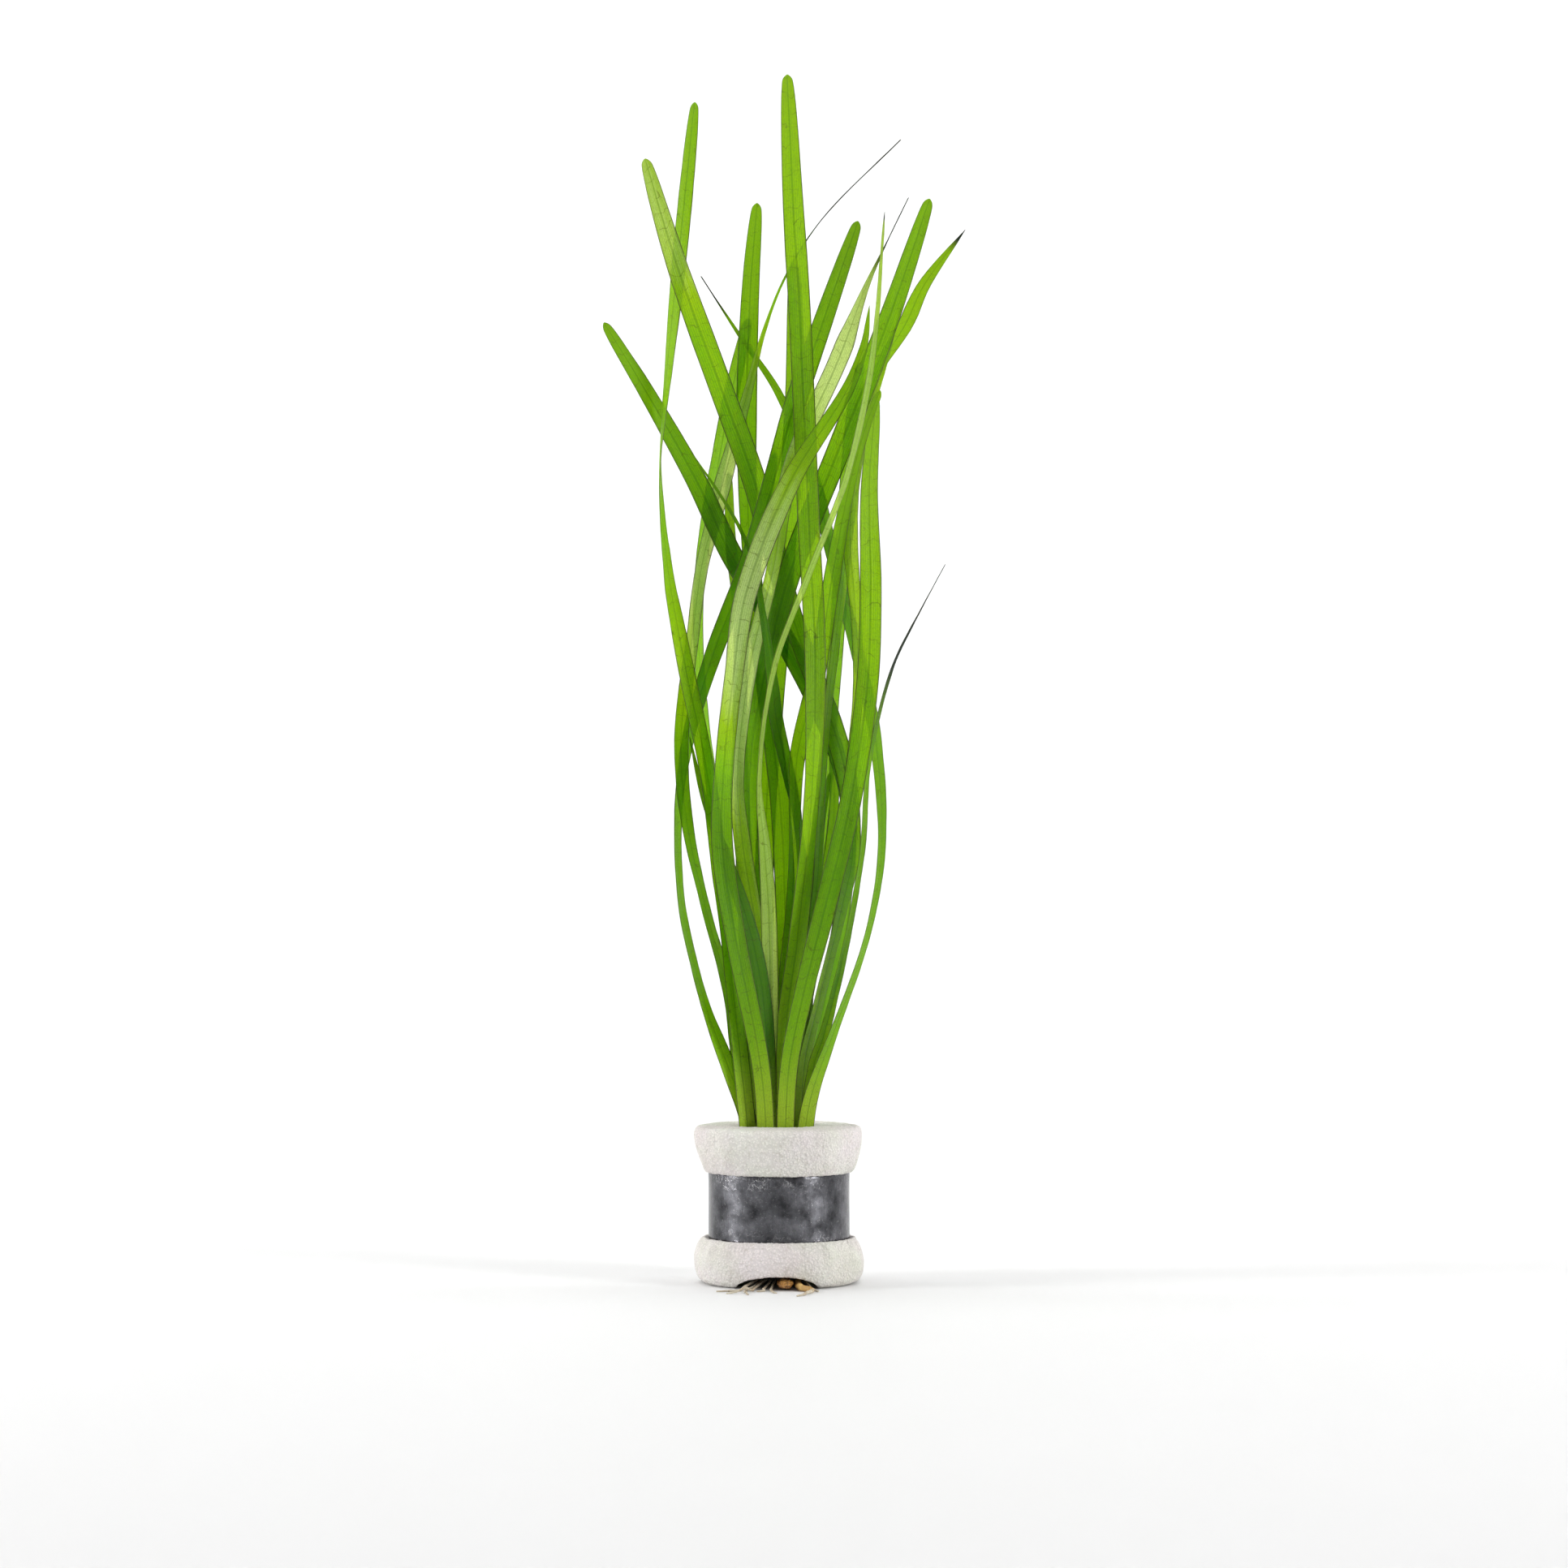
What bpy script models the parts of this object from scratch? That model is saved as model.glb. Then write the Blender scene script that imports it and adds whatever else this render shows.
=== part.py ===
"""Vallisneria: a bunch of ribbon leaves on a short rootstock, held in a foam sleeve with a lead band.

The plant stands upright on the flat underside of its sleeve, on z = 0, and its roots lie on the ground in
front of it. The sleeve's axis is X = 0, Y = 0, and the bunch is seen from -Y. Sizes are in metres.
"""

import math

import bmesh
import bpy
from mathutils import Matrix, Vector

MM = 0.001
TIP_FORWARD = Matrix.Rotation(math.radians(90), 3, "X")
COLLECTION = "vallisneria"

# Foam sleeve
SLEEVE_RADIUS = 18.6 * MM
SLEEVE_HEIGHT = 34.8 * MM
WAIST_RADIUS = 14.7 * MM
FLANGE_RADIUS = 16.8 * MM
SLEEVE_STEPS = 40
SLEEVE_WOBBLE = 0.35 * MM
HOLE_CENTRE_X = -0.6 * MM
HOLE_HALF_WIDTH = 9.2 * MM
HOLE_HALF_DEPTH = 6.9 * MM
HOLE_SQUARENESS = 3.0
ROOT_ARCH_X = -0.4 * MM
ROOT_ARCH_HALF_WIDTH = 9.0 * MM
ROOT_ARCH_HEIGHT = 2.9 * MM

# Lead band
BAND_BOTTOM = 9.6 * MM
BAND_TOP = 24.6 * MM
BAND_RADIUS = 15.35 * MM
BAND_THICKNESS = 0.6 * MM
BAND_LAP_DEGREES = 28.0
BAND_LAP_GAP = 0.3 * MM
BAND_STEPS = 52
BAND_GROOVE_GAP = 0.4 * MM

# Rootstock in the sleeve's hole
CROWN_TOP = 27.0 * MM
CROWN_BOTTOM = 4.2 * MM
CROWN_TOP_RADIUS = 7.2 * MM
CROWN_BOTTOM_RADIUS = 3.4 * MM
CROWN_FLATNESS = 0.72

# Leaves
LEAF_THICKNESS = 0.42 * MM
LEAF_CHANNEL = 0.3 * MM
LEAF_STATIONS = 19
BASE_WIDTH = 3.2 * MM
NARROW_BELOW = 42 * MM
FULL_ABOVE = 100 * MM
TIP_SHAPES = {
    "tongue": (40 * MM, 0.22),
    "point": (46 * MM, 0.62),
    "lance": (18 * MM, 0.75),
    "thread": (52 * MM, 1.0),
    "whip": (32 * MM, 2.2),
    "lash": (75 * MM, 2.0),
}
THREAD_WIDTH = 0.25 * MM

# Each leaf: full width, tip, and points (height, sideways, depth, turn about its own length in degrees).
LEAVES = {
    "leaf_01": (4.9, "tongue", [
        (27.5, 1.2, -3.3, 0), (57, 1.6, -3.4, 15), (76, 4.1, -4.4, 32), (107, 7.2, -6.8, 45),
        (136, 8.0, -8.3, 18), (169, 6.5, -9.4, 5), (211, 4.7, -11.0, 0), (240, 3.0, -9.5, 0),
        (267, 1.8, -6.0, 0)]),
    "leaf_02": (4.2, "tongue", [
        (27.5, -6.2, -3.3, 15), (57, -9.2, -4.4, 30), (76, -11.4, -6.2, 50), (91, -13.4, -7.8, 48),
        (112, -15.6, -8.4, 38), (136, -20.5, -7.2, 32), (158, -24.5, -4.6, 60), (180, -26.1, -2.6, 88),
        (206, -24.1, -0.6, 122), (232, -21.6, 1.0, 148), (262, -18.7, 2.0, 160)]),
    "leaf_03": (5.3, "tongue", [
        (27.5, 5.0, -0.7, 10), (48, 5.6, -0.4, 45), (62, 8.8, 0.6, 62), (83, 14.0, 1.4, 62),
        (96, 16.4, 1.4, 50), (117, 13.9, 1.0, 30), (145, 3.8, 0.0, 30), (160, -0.5, -0.8, 20),
        (178, -5.6, -1.4, 0), (198, -12.8, -2.2, 0), (225, -22.5, -3.0, 10), (249, -29.7, -1.5, 20)]),
    "leaf_04": (4.7, "tongue", [
        (27.5, 1.2, 0.7, 0), (48, 1.6, 0.8, 5), (66, 1.8, 0.8, 12), (83, 1.5, 0.6, 15),
        (107, 0.2, 0.6, 20), (125, -2.0, 2.2, 25), (145, -4.5, 5.0, 25), (167, -6.7, 6.4, 35),
        (196, -7.2, 6.6, 12), (222, -6.3, 6.0, 10), (240, -4.9, 5.6, 5)]),
    "leaf_05": (4.9, "tongue", [
        (27.5, 5.0, 3.3, 0), (48, 7.2, 5.3, 25), (75, 13.0, 6.4, 40), (103, 15.6, 4.8, 45),
        (120, 11.9, 3.8, 35), (140, 2.7, 2.8, 10), (161, -10.3, 2.2, 0), (178, -18.4, 2.2, 10),
        (198, -29.7, 2.0, 25), (213, -38.9, 1.6, 30)]),
    "leaf_06": (3.8, "thread", [
        (27.5, 5.0, -3.3, 0), (41, 7.0, -3.6, 30), (55, 11.9, -3.4, 58), (76, 19.3, -2.8, 68),
        (96, 22.7, -2.0, 60), (119, 21.6, -0.8, 45), (135, 18.5, 1.4, 40), (160, 12.2, 4.4, 40),
        (181, 7.0, 7.0, 30), (198, -0.2, 8.4, 20), (211, -9.0, 8.6, 15), (224, -17.5, 8.4, 20)]),
    "leaf_07": (4.9, "tongue", [
        (27.5, -6.2, -2.0, 0), (36, -6.9, -1.9, 20), (48, -11.2, -3.0, 36), (62, -16.4, -1.3, 64),
        (83, -21.4, -0.4, 72), (105, -22.3, 0.6, 70), (122, -19.8, 0.8, 56), (131, -17.2, -0.2, 48),
        (141, -13.9, -2.2, 40), (160, -6.4, -4.8, 30), (179, -0.7, -5.0, 15), (193, 3.1, -4.6, 15),
        (212, 9.5, -4.0, 5), (235, 17.5, -3.0, 20)]),
    "leaf_08": (4.2, "whip", [
        (27.5, -2.6, -0.6, 0), (56, -3.0, -1.2, -15), (77, -4.8, -2.6, -30), (96, -7.9, -4.9, -25),
        (112, -9.2, -5.8, -45), (136, -6.5, -6.4, -35), (158, -1.3, -6.9, -42), (180, 2.7, -7.2, -20),
        (205, 13.5, -6.8, 0), (221, 19.6, -6.2, 25), (240, 28.6, -5.0, 30)]),
    "leaf_09": (5.2, "tongue", [
        (27.5, -2.6, 0.8, 0), (60, -4.4, 0.6, 26), (80, -5.6, 0.3, 35), (100, -6.5, -0.7, 44),
        (119, -5.9, -2.2, 42), (141, -1.8, -3.8, 20), (158, 2.7, -4.6, 15), (185, 13.5, -6.6, 0),
        (212, 23.9, -8.8, 15), (239, 33.1, -11.0, 25)]),
    "leaf_10": (3.7, "point", [
        (27.5, -2.6, -2.0, 0), (48, -2.2, -2.8, 2), (60, -1.9, -3.3, 4), (83, -2.3, -4.8, 22),
        (96, -3.1, -6.8, 45), (112, -4.3, -9.8, 74), (136, -1.0, -14.2, 72), (158, 7.2, -16.8, 70),
        (178, 14.9, -18.4, 70), (203, 20.3, -19.6, 66), (235, 23.0, -21.5, 60)]),
    "leaf_11": (3.9, "lash", [
        (27.5, -6.2, -0.6, 5), (36, -6.9, -0.2, 20), (48, -9.0, 0.4, 40), (65, -11.4, 0.0, 52),
        (83, -16.2, -1.8, 60), (102, -20.3, -3.6, 48), (118, -21.6, -4.8, 36), (130, -20.8, -4.4, 36),
        (141, -19.4, -1.6, 45), (158, -17.3, 3.0, 45), (170, -14.4, 4.4, 28), (182, -11.3, 4.0, 10),
        (198, -6.8, 2.4, 20), (212, -3.0, 0.6, 40), (225, 2.5, -1.0, 40), (237, 10.8, -2.2, 30),
        (253, 27.0, -3.4, 30)]),
    "leaf_12": (3.9, "tongue", [
        (27.5, 1.2, -1.9, 0), (48, 1.2, -1.8, 3), (60, 1.3, -1.8, 6), (83, 2.9, -2.2, 42),
        (96, 3.4, -2.8, 52), (107, 3.6, -3.2, 45), (118, 4.3, -3.6, 25), (136, 8.6, -4.6, 10),
        (157, 11.9, -5.9, 18), (175, 15.3, -8.2, 42), (190, 19.4, -9.6, 45), (197, 22.3, -9.9, 30)]),
    "leaf_13": (3.8, "lance", [
        (27.5, 5.0, 0.7, 0), (48, 5.3, 1.5, 18), (60, 5.9, 1.6, 34), (90, 8.6, -1.0, 58),
        (119, 10.0, -2.8, 62), (150, 13.6, -0.4, 60), (185, 18.2, 0.4, 62), (202, 22.0, -1.2, 58),
        (212, 27.9, -2.8, 30), (221, 32.2, -4.0, 15), (233, 41.2, -4.4, 20)]),
    "leaf_14": (3.4, "point", [
        (27.5, 1.2, 2.1, 0), (48, 1.6, 3.0, 5), (60, 2.4, 3.4, 10), (83, 5.4, 2.9, 25),
        (92, 5.3, 1.8, 45), (98, 4.6, 0.8, 58), (105, 3.8, -0.3, 50), (112, 2.3, -1.8, 35),
        (125, -0.6, -3.6, 25), (134, -1.6, -7.0, 45), (148, -3.6, -10.6, 58), (160, -5.8, -10.8, 60),
        (170, -10.4, -9.4, 62), (183, -18.9, -8.6, 50)]),
    "leaf_15": (3.0, "tongue", [
        (27.5, -6.2, 0.8, 5), (48, -6.6, 2.2, 10), (60, -6.8, 3.0, 14), (100, -8.4, 4.4, 16),
        (147, -8.8, 5.8, 12), (165, -10.8, 6.6, 5), (180, -11.2, 7.2, 0)]),
    "leaf_16": (3.0, "thread", [
        (27.5, 5.0, -2.0, 0), (48, 7.7, -2.0, 25), (55, 10.0, -1.8, 38), (76, 15.1, -1.6, 60),
        (96, 18.5, -2.4, 66), (115, 19.9, -4.8, 66), (136, 25.0, -5.2, 60), (149, 31.3, -6.0, 55),
        (159, 36.7, -6.6, 50)]),
    "leaf_17": (3.9, "point", [
        (27.5, -2.6, -3.3, 0), (48, -2.4, -4.1, 25), (66, -3.9, -5.2, 18), (81, -7.2, -6.3, 22),
        (95, -12.0, -4.4, 20), (107, -16.4, -5.2, 35), (121, -19.8, -5.4, 35)]),
    "leaf_18": (4.9, "point", [
        (27.5, -2.6, -4.7, 0), (48, -4.0, -5.8, 0), (76, -9.4, -8.8, 20), (96, -12.4, -10.4, 12),
        (112, -12.2, -11.4, 30), (136, -9.7, -12.5, 32), (153, -7.0, -13.4, 12), (177, 2.7, -15.0, 0),
        (196, 14.6, -16.0, 0), (206, 18.5, -16.4, 15), (215, 19.8, -16.8, 30)]),
    "leaf_19": (4.9, "tongue", [
        (27.5, 1.2, -4.7, 0), (48, 2.2, -5.8, 10), (66, 5.8, -7.0, 18), (83, 10.1, -7.8, 12),
        (107, 15.8, -8.3, 12), (132, 19.4, -8.4, 0), (153, 20.2, -8.2, 10), (175, 19.9, -7.0, 25),
        (196, 21.4, -5.6, 35)]),
    "leaf_20": (4.0, "thread", [
        (27.5, 1.2, -0.6, 0), (48, 3.2, 0.0, 18), (66, 6.4, -0.6, 30), (90, 12.2, -3.4, 50),
        (115, 16.0, -4.4, 52), (134, 17.5, -4.0, 55), (149, 16.9, -3.4, 50), (167, 15.8, -3.2, 30),
        (185, 18.0, -3.2, 50), (204, 23.8, -5.0, 50), (217, 27.2, -5.6, 45)]),
    "leaf_21": (3.0, "tongue", [
        (27.5, 1.2, 3.5, 0), (48, 3.0, 5.0, 10), (70, 6.5, 6.4, 20), (100, 11.9, 7.4, 38),
        (119, 12.1, 7.6, 30), (130, 11.2, 7.6, 20)]),
    "leaf_22": (3.0, "tongue", [
        (27.5, 5.1, 2.0, 0), (48, 5.6, 3.2, 12), (60, 6.1, 3.6, 25), (83, 7.6, 2.8, 50),
        (98, 9.0, 1.9, 50), (113, 11.2, 1.9, 45)]),
    "leaf_23": (4.5, "tongue", [
        (27.5, -6.2, 2.1, -5), (48, -8.1, 4.2, -15), (60, -9.4, 5.6, -28), (100, -14.0, 9.0, -52),
        (150, -18.2, 14.5, -58), (190, -12.5, 20.0, -30), (216, -7.0, 24.5, -15)]),
    "leaf_24": (4.6, "tongue", [
        (27.5, -2.6, 2.2, 0), (60, -3.4, 4.4, 10), (100, -3.0, 8.2, 25), (150, 0.5, 12.4, 12),
        (195, 3.4, 17.0, 0), (228, 3.4, 21.0, 0)]),
    "leaf_25": (4.2, "tongue", [
        (27.5, -2.6, 3.6, 0), (60, -5.0, 7.8, 18), (100, -8.0, 14.5, 35), (140, -8.5, 21.0, 40),
        (170, -4.0, 27.0, 30), (186, -1.0, 30.4, 20)]),
    "leaf_26": (4.6, "tongue", [
        (27.5, -0.7, 5.0, 0), (60, 2.5, 9.0, -20), (100, 9.0, 13.6, -38), (150, 13.5, 18.0, -42),
        (190, 16.4, 22.5, -25), (206, 18.4, 24.6, -20)]),
}

# Fine roots: radius and points (sideways, depth, height) of the route over the ground, in millimetres.
FINE_ROOTS = {
    "root_1": (0.26, [(-4.0, -7.0, 1.7), (-7.2, -16.5, 0.9), (-8.4, -19.6, 0.28), (-10.4, -21.0, 0.28),
                      (-13.6, -21.8, 0.28)]),
    "root_2": (0.24, [(-3.3, -7.8, 1.5), (-6.2, -17.2, 0.5), (-7.4, -20.4, 0.26), (-7.2, -24.4, 0.26),
                      (-6.6, -28.2, 0.26)]),
    "root_3": (0.26, [(-2.5, -8.2, 1.7), (-5.1, -17.6, 0.6), (-5.8, -20.4, 0.35), (-7.4, -22.8, 1.1),
                      (-9.2, -24.4, 0.45), (-11.4, -26.0, 0.28)]),
    "root_4": (0.24, [(-1.7, -8.6, 1.4), (-3.2, -17.8, 0.5), (-3.2, -20.2, 0.26), (-4.8, -21.6, 0.26)]),
    "root_5": (0.24, [(-0.8, -9.4, 1.3), (-1.7, -18.2, 0.5), (-1.5, -21.2, 0.26), (-0.6, -25.2, 0.26)]),
    "root_7": (0.22, [(5.6, -9.4, 1.4), (7.0, -17.2, 0.6), (8.0, -19.8, 0.24), (8.6, -21.2, 0.24)]),
}
THICK_ROOT = [(3.8, -7.6, 1.5, 0.75), (4.3, -15.5, 0.95, 0.75), (4.9, -19.4, 0.8, 0.72),
              (6.5, -21.6, 0.66, 0.6), (7.2, -23.6, 0.55, 0.48), (6.1, -25.8, 0.44, 0.34),
              (5.6, -28.4, 0.32, 0.28), (3.9, -31.0, 0.26, 0.22)]
ROOT_STEPS = 9
STUB_CENTRE = (1.4 * MM, -14.6 * MM, 1.25 * MM)
STUB_HALF_SIZE = (1.75 * MM, 5.9 * MM, 1.05 * MM)
STUB_LUMP = 0.16


def clear_scene():
    for item in list(bpy.data.objects):
        bpy.data.objects.remove(item, do_unlink=True)


def new_collection(name):
    group = bpy.data.collections.new(name)
    bpy.context.scene.collection.children.link(group)
    return group


def material(name, colour, roughness, metallic=0.0):
    found = bpy.data.materials.new(name)
    found.use_nodes = True
    shader = found.node_tree.nodes["Principled BSDF"]
    shader.inputs["Base Color"].default_value = (*colour, 1.0)
    shader.inputs["Roughness"].default_value = roughness
    shader.inputs["Metallic"].default_value = metallic
    return found


def add_object(name, data, group, finish=None):
    piece = bpy.data.objects.new(name, data)
    group.objects.link(piece)
    if finish:
        data.materials.append(finish)
    return piece


def mesh_object(name, shape, group, finish=None, smooth=True):
    """Turns a bmesh into an object and frees it."""
    data = bpy.data.meshes.new(name)
    shape.to_mesh(data)
    shape.free()
    if smooth:
        data.shade_smooth()
        data.set_sharp_from_angle(angle=math.radians(35))
    return add_object(name, data, group, finish)


def evaluated_mesh(piece):
    """The object's mesh with its modifiers or curve settings applied, and the object removed."""
    graph = bpy.context.evaluated_depsgraph_get()
    data = bpy.data.meshes.new_from_object(piece.evaluated_get(graph))
    bpy.data.objects.remove(piece, do_unlink=True)
    return data


def between(knots, values, at):
    """A smooth curve through the values, read at one place: cubic pieces with averaged slopes."""
    last = len(knots) - 1
    slopes = []
    for i in range(last + 1):
        low, high = max(i - 1, 0), min(i + 1, last)
        slopes.append((values[high] - values[low]) / (knots[high] - knots[low]))
    i = 0
    while i < last - 1 and at > knots[i + 1]:
        i += 1
    span = knots[i + 1] - knots[i]
    t = (at - knots[i]) / span
    rise = t * t * (3 - 2 * t)
    return (
        values[i] * (1 - rise)
        + values[i + 1] * rise
        + span * t * (1 - t) * (slopes[i] * (1 - t) - slopes[i + 1] * t)
    )


def leaf_width(full, tip, height, below_tip):
    """Width of a leaf: narrowed in the sleeve, full in its length, and rounded or drawn out at its tip."""
    t = min(max((height - NARROW_BELOW) / (FULL_ABOVE - NARROW_BELOW), 0.0), 1.0)
    foot = min(BASE_WIDTH, full)
    width = foot + (full - foot) * t * t * (3 - 2 * t)
    reach, power = TIP_SHAPES[tip]
    return max(THREAD_WIDTH, width * min(1.0, (below_tip / reach) ** power))


def leaf_heights(low, high):
    """Heights of the cross-sections, closer together towards the tip."""
    heights = []
    for i in range(LEAF_STATIONS + 1):
        t = i / LEAF_STATIONS
        heights.append(low + (high - low) * (1 - (1 - t) ** 1.35))
    heights.append(high - 0.4 * MM)
    heights.remove(high)
    return heights


def leaf_sections(full, tip, points):
    """Left edge, middle and right edge of the blade at each height."""
    knots = [p[0] * MM for p in points]
    lines = [[p[i] * MM for p in points] for i in (1, 2)]
    turns = [math.radians(p[3]) for p in points]
    low, high = knots[0], knots[-1]
    rows = []
    for height in leaf_heights(low, high):
        ends = [max(low, height - 0.5 * MM), min(high, height + 0.5 * MM)]
        a, b = (Vector((between(knots, lines[0], h), between(knots, lines[1], h), h)) for h in ends)
        along = (b - a).normalized()
        centre = Vector((between(knots, lines[0], height), between(knots, lines[1], height), height))
        across = Vector((0, 1, 0)).cross(along).normalized()
        face = along.cross(across)
        turn = between(knots, turns, height)
        side = across * math.cos(turn) + face * math.sin(turn)
        front = face * math.cos(turn) - across * math.sin(turn)
        half = leaf_width(full, tip, height, high - height) / 2
        sink = front * LEAF_CHANNEL * min(1.0, half / (1.5 * MM))
        rows.append((centre - side * half, centre + sink, centre + side * half))
    return rows


def add_leaf(name, spec, group, finish):
    """A blade: an open channelled ribbon that gets its thickness from Solidify."""
    full, tip, points = spec
    shape = bmesh.new()
    rows = [[shape.verts.new(p) for p in row] for row in leaf_sections(full * MM, tip, points)]
    for lower, upper in zip(rows, rows[1:]):
        for i in (0, 1):
            shape.faces.new((lower[i], lower[i + 1], upper[i + 1], upper[i]))
    leaf = mesh_object(name, shape, group, finish)
    wall = leaf.modifiers.new("blade", "SOLIDIFY")
    wall.thickness = LEAF_THICKNESS
    wall.offset = 0.0
    return leaf


def turned(name, profile, steps, group):
    """A mesh turned about Z from (radius, height) points, read down the outer side."""
    data = bpy.data.meshes.new(name)
    points = [(r, 0.0, z) for r, z in profile]
    data.from_pydata(points, [(i, i + 1) for i in range(len(points) - 1)], [])
    piece = add_object(name, data, group)
    screw = piece.modifiers.new("turn", "SCREW")
    screw.steps = steps
    screw.render_steps = steps
    screw.use_merge_vertices = True
    screw.merge_threshold = 0.00001
    bpy.context.view_layer.update()
    return evaluated_mesh(piece)


def cut(piece, cutter, name):
    boolean = piece.modifiers.new(name, "BOOLEAN")
    boolean.operation = "DIFFERENCE"
    boolean.object = cutter
    cutter.hide_render = True
    cutter.display_type = "WIRE"


def outline_prism(name, outline, low, high, group):
    """An upright prism on a closed outline of (x, y) points."""
    shape = bmesh.new()
    face = shape.faces.new([shape.verts.new((x, y, low)) for x, y in outline])
    top = bmesh.ops.extrude_face_region(shape, geom=[face])
    moved = [v for v in top["geom"] if isinstance(v, bmesh.types.BMVert)]
    bmesh.ops.translate(shape, verts=moved, vec=(0, 0, high - low))
    bmesh.ops.recalc_face_normals(shape, faces=shape.faces)
    return mesh_object(name, shape, group, smooth=False)


def hole_outline(steps=32):
    """A rounded oblong: a superellipse."""
    points = []
    for i in range(steps):
        angle = math.tau * i / steps
        c, s = math.cos(angle), math.sin(angle)
        x = math.copysign(abs(c) ** (2 / HOLE_SQUARENESS), c) * HOLE_HALF_WIDTH
        y = math.copysign(abs(s) ** (2 / HOLE_SQUARENESS), s) * HOLE_HALF_DEPTH
        points.append((HOLE_CENTRE_X + x, y))
    return points


def root_arch(group):
    """The low arch under the sleeve's front, where the roots come out: a lying half-oval prism."""
    shape = bmesh.new()
    bmesh.ops.create_cone(
        shape, cap_ends=True, segments=28, radius1=1.0, radius2=1.0, depth=2 * SLEEVE_RADIUS
    )
    bmesh.ops.rotate(shape, verts=shape.verts, matrix=TIP_FORWARD)
    bmesh.ops.scale(shape, verts=shape.verts, vec=(ROOT_ARCH_HALF_WIDTH, 1.0, ROOT_ARCH_HEIGHT))
    bmesh.ops.translate(shape, verts=shape.verts, vec=(ROOT_ARCH_X, -SLEEVE_RADIUS, 0))
    bmesh.ops.recalc_face_normals(shape, faces=shape.faces)
    return mesh_object("root_arch_cutter", shape, group, smooth=False)


def floor_cutter(group):
    shape = bmesh.new()
    bmesh.ops.create_cube(shape, size=60 * MM)
    bmesh.ops.translate(shape, verts=shape.verts, vec=(0, 0, -30 * MM))
    return mesh_object("floor_cutter", shape, group, smooth=False)


def add_sleeve(group, cutters, finish):
    """Foam pinched by the band at its waist, with uneven bulging ends."""
    r, h = SLEEVE_RADIUS, SLEEVE_HEIGHT
    low, high = BAND_BOTTOM - BAND_GROOVE_GAP, BAND_TOP + BAND_GROOVE_GAP
    profile = [
        (0, h), (13.4 * MM, h), (16.6 * MM, h - 0.5 * MM), (18.1 * MM, h - 1.9 * MM),
        (r - 0.2 * MM, h - 4.6 * MM), (r - 0.6 * MM, h - 7.4 * MM), (17.3 * MM, high + 0.7 * MM),
        (16.9 * MM, high), (WAIST_RADIUS, high), (WAIST_RADIUS, low), (16.9 * MM, low),
        (17.3 * MM, low + 1.3 * MM), (18.1 * MM, low + 0.9 * MM), (r, low - 1.6 * MM),
        (r + 0.1 * MM, 3.6 * MM), (r - 0.4 * MM, 1.5 * MM), (17.2 * MM, 0.3 * MM),
        (16.4 * MM, -0.6 * MM), (0, -0.6 * MM),
    ]
    data = turned("foam_sleeve", profile, SLEEVE_STEPS, group)
    for vertex in data.vertices:
        x, y, z = vertex.co
        radius = math.hypot(x, y)
        if radius > FLANGE_RADIUS:
            angle = math.atan2(y, x)
            wave = math.sin(3 * angle + 0.6) + 0.7 * math.sin(7 * angle + z * 420)
            wave += 0.5 * math.sin(13 * angle + 2)
            swell = 1 + SLEEVE_WOBBLE * wave * min(1.0, (radius - FLANGE_RADIUS) / MM) / radius
            vertex.co.x = x * swell
            vertex.co.y = y * swell
    data.name = "foam_sleeve"
    data.shade_smooth()
    data.set_sharp_from_angle(angle=math.radians(50))
    sleeve = add_object("foam_sleeve", data, group, finish)
    hole = outline_prism("hole_cutter", hole_outline(), -5 * MM, h + 5 * MM, cutters)
    cut(sleeve, hole, "plant hole")
    cut(sleeve, root_arch(cutters), "root arch")
    cut(sleeve, floor_cutter(cutters), "flat foot")
    return sleeve


def band_outline():
    """A strip bent round the sleeve, its last stretch lying over its first at the back."""
    turn = math.tau + math.radians(BAND_LAP_DEGREES)
    start = math.radians(90) - math.radians(BAND_LAP_DEGREES) / 2
    lift = BAND_THICKNESS + BAND_LAP_GAP
    inner, outer = [], []
    for i in range(BAND_STEPS + 1):
        t = i / BAND_STEPS
        angle = start + turn * t
        climb = min(max((t * turn - math.tau + 0.5) / 0.42, 0.0), 1.0)
        radius = BAND_RADIUS + lift * climb * climb * (3 - 2 * climb)
        for line, step in ((inner, -0.5), (outer, 0.5)):
            reach = radius + step * BAND_THICKNESS
            line.append((reach * math.cos(angle), reach * math.sin(angle)))
    return outer + inner[::-1]


def add_band(group, finish):
    band = outline_prism("lead_band", band_outline(), BAND_BOTTOM, BAND_TOP, group)
    band.data.materials.append(finish)
    band.data.shade_smooth()
    band.data.set_sharp_from_angle(angle=math.radians(35))
    return band


def add_crown(group, finish):
    """The short rootstock that the leaves and roots grow from."""
    profile = [(0, CROWN_TOP)]
    rings = 7
    for i in range(rings):
        t = i / (rings - 1)
        radius = CROWN_TOP_RADIUS + (CROWN_BOTTOM_RADIUS - CROWN_TOP_RADIUS) * t
        radius += 0.35 * MM * math.sin(t * 9)
        profile.append((radius, CROWN_TOP + (CROWN_BOTTOM - CROWN_TOP) * t))
    profile.append((0, CROWN_BOTTOM))
    data = turned("rootstock", profile, 18, group)
    for vertex in data.vertices:
        vertex.co.x += HOLE_CENTRE_X
        vertex.co.y *= CROWN_FLATNESS
    data.name = "rootstock"
    data.shade_smooth()
    data.set_sharp_from_angle(angle=math.radians(50))
    return add_object("rootstock", data, group, finish)


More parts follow.
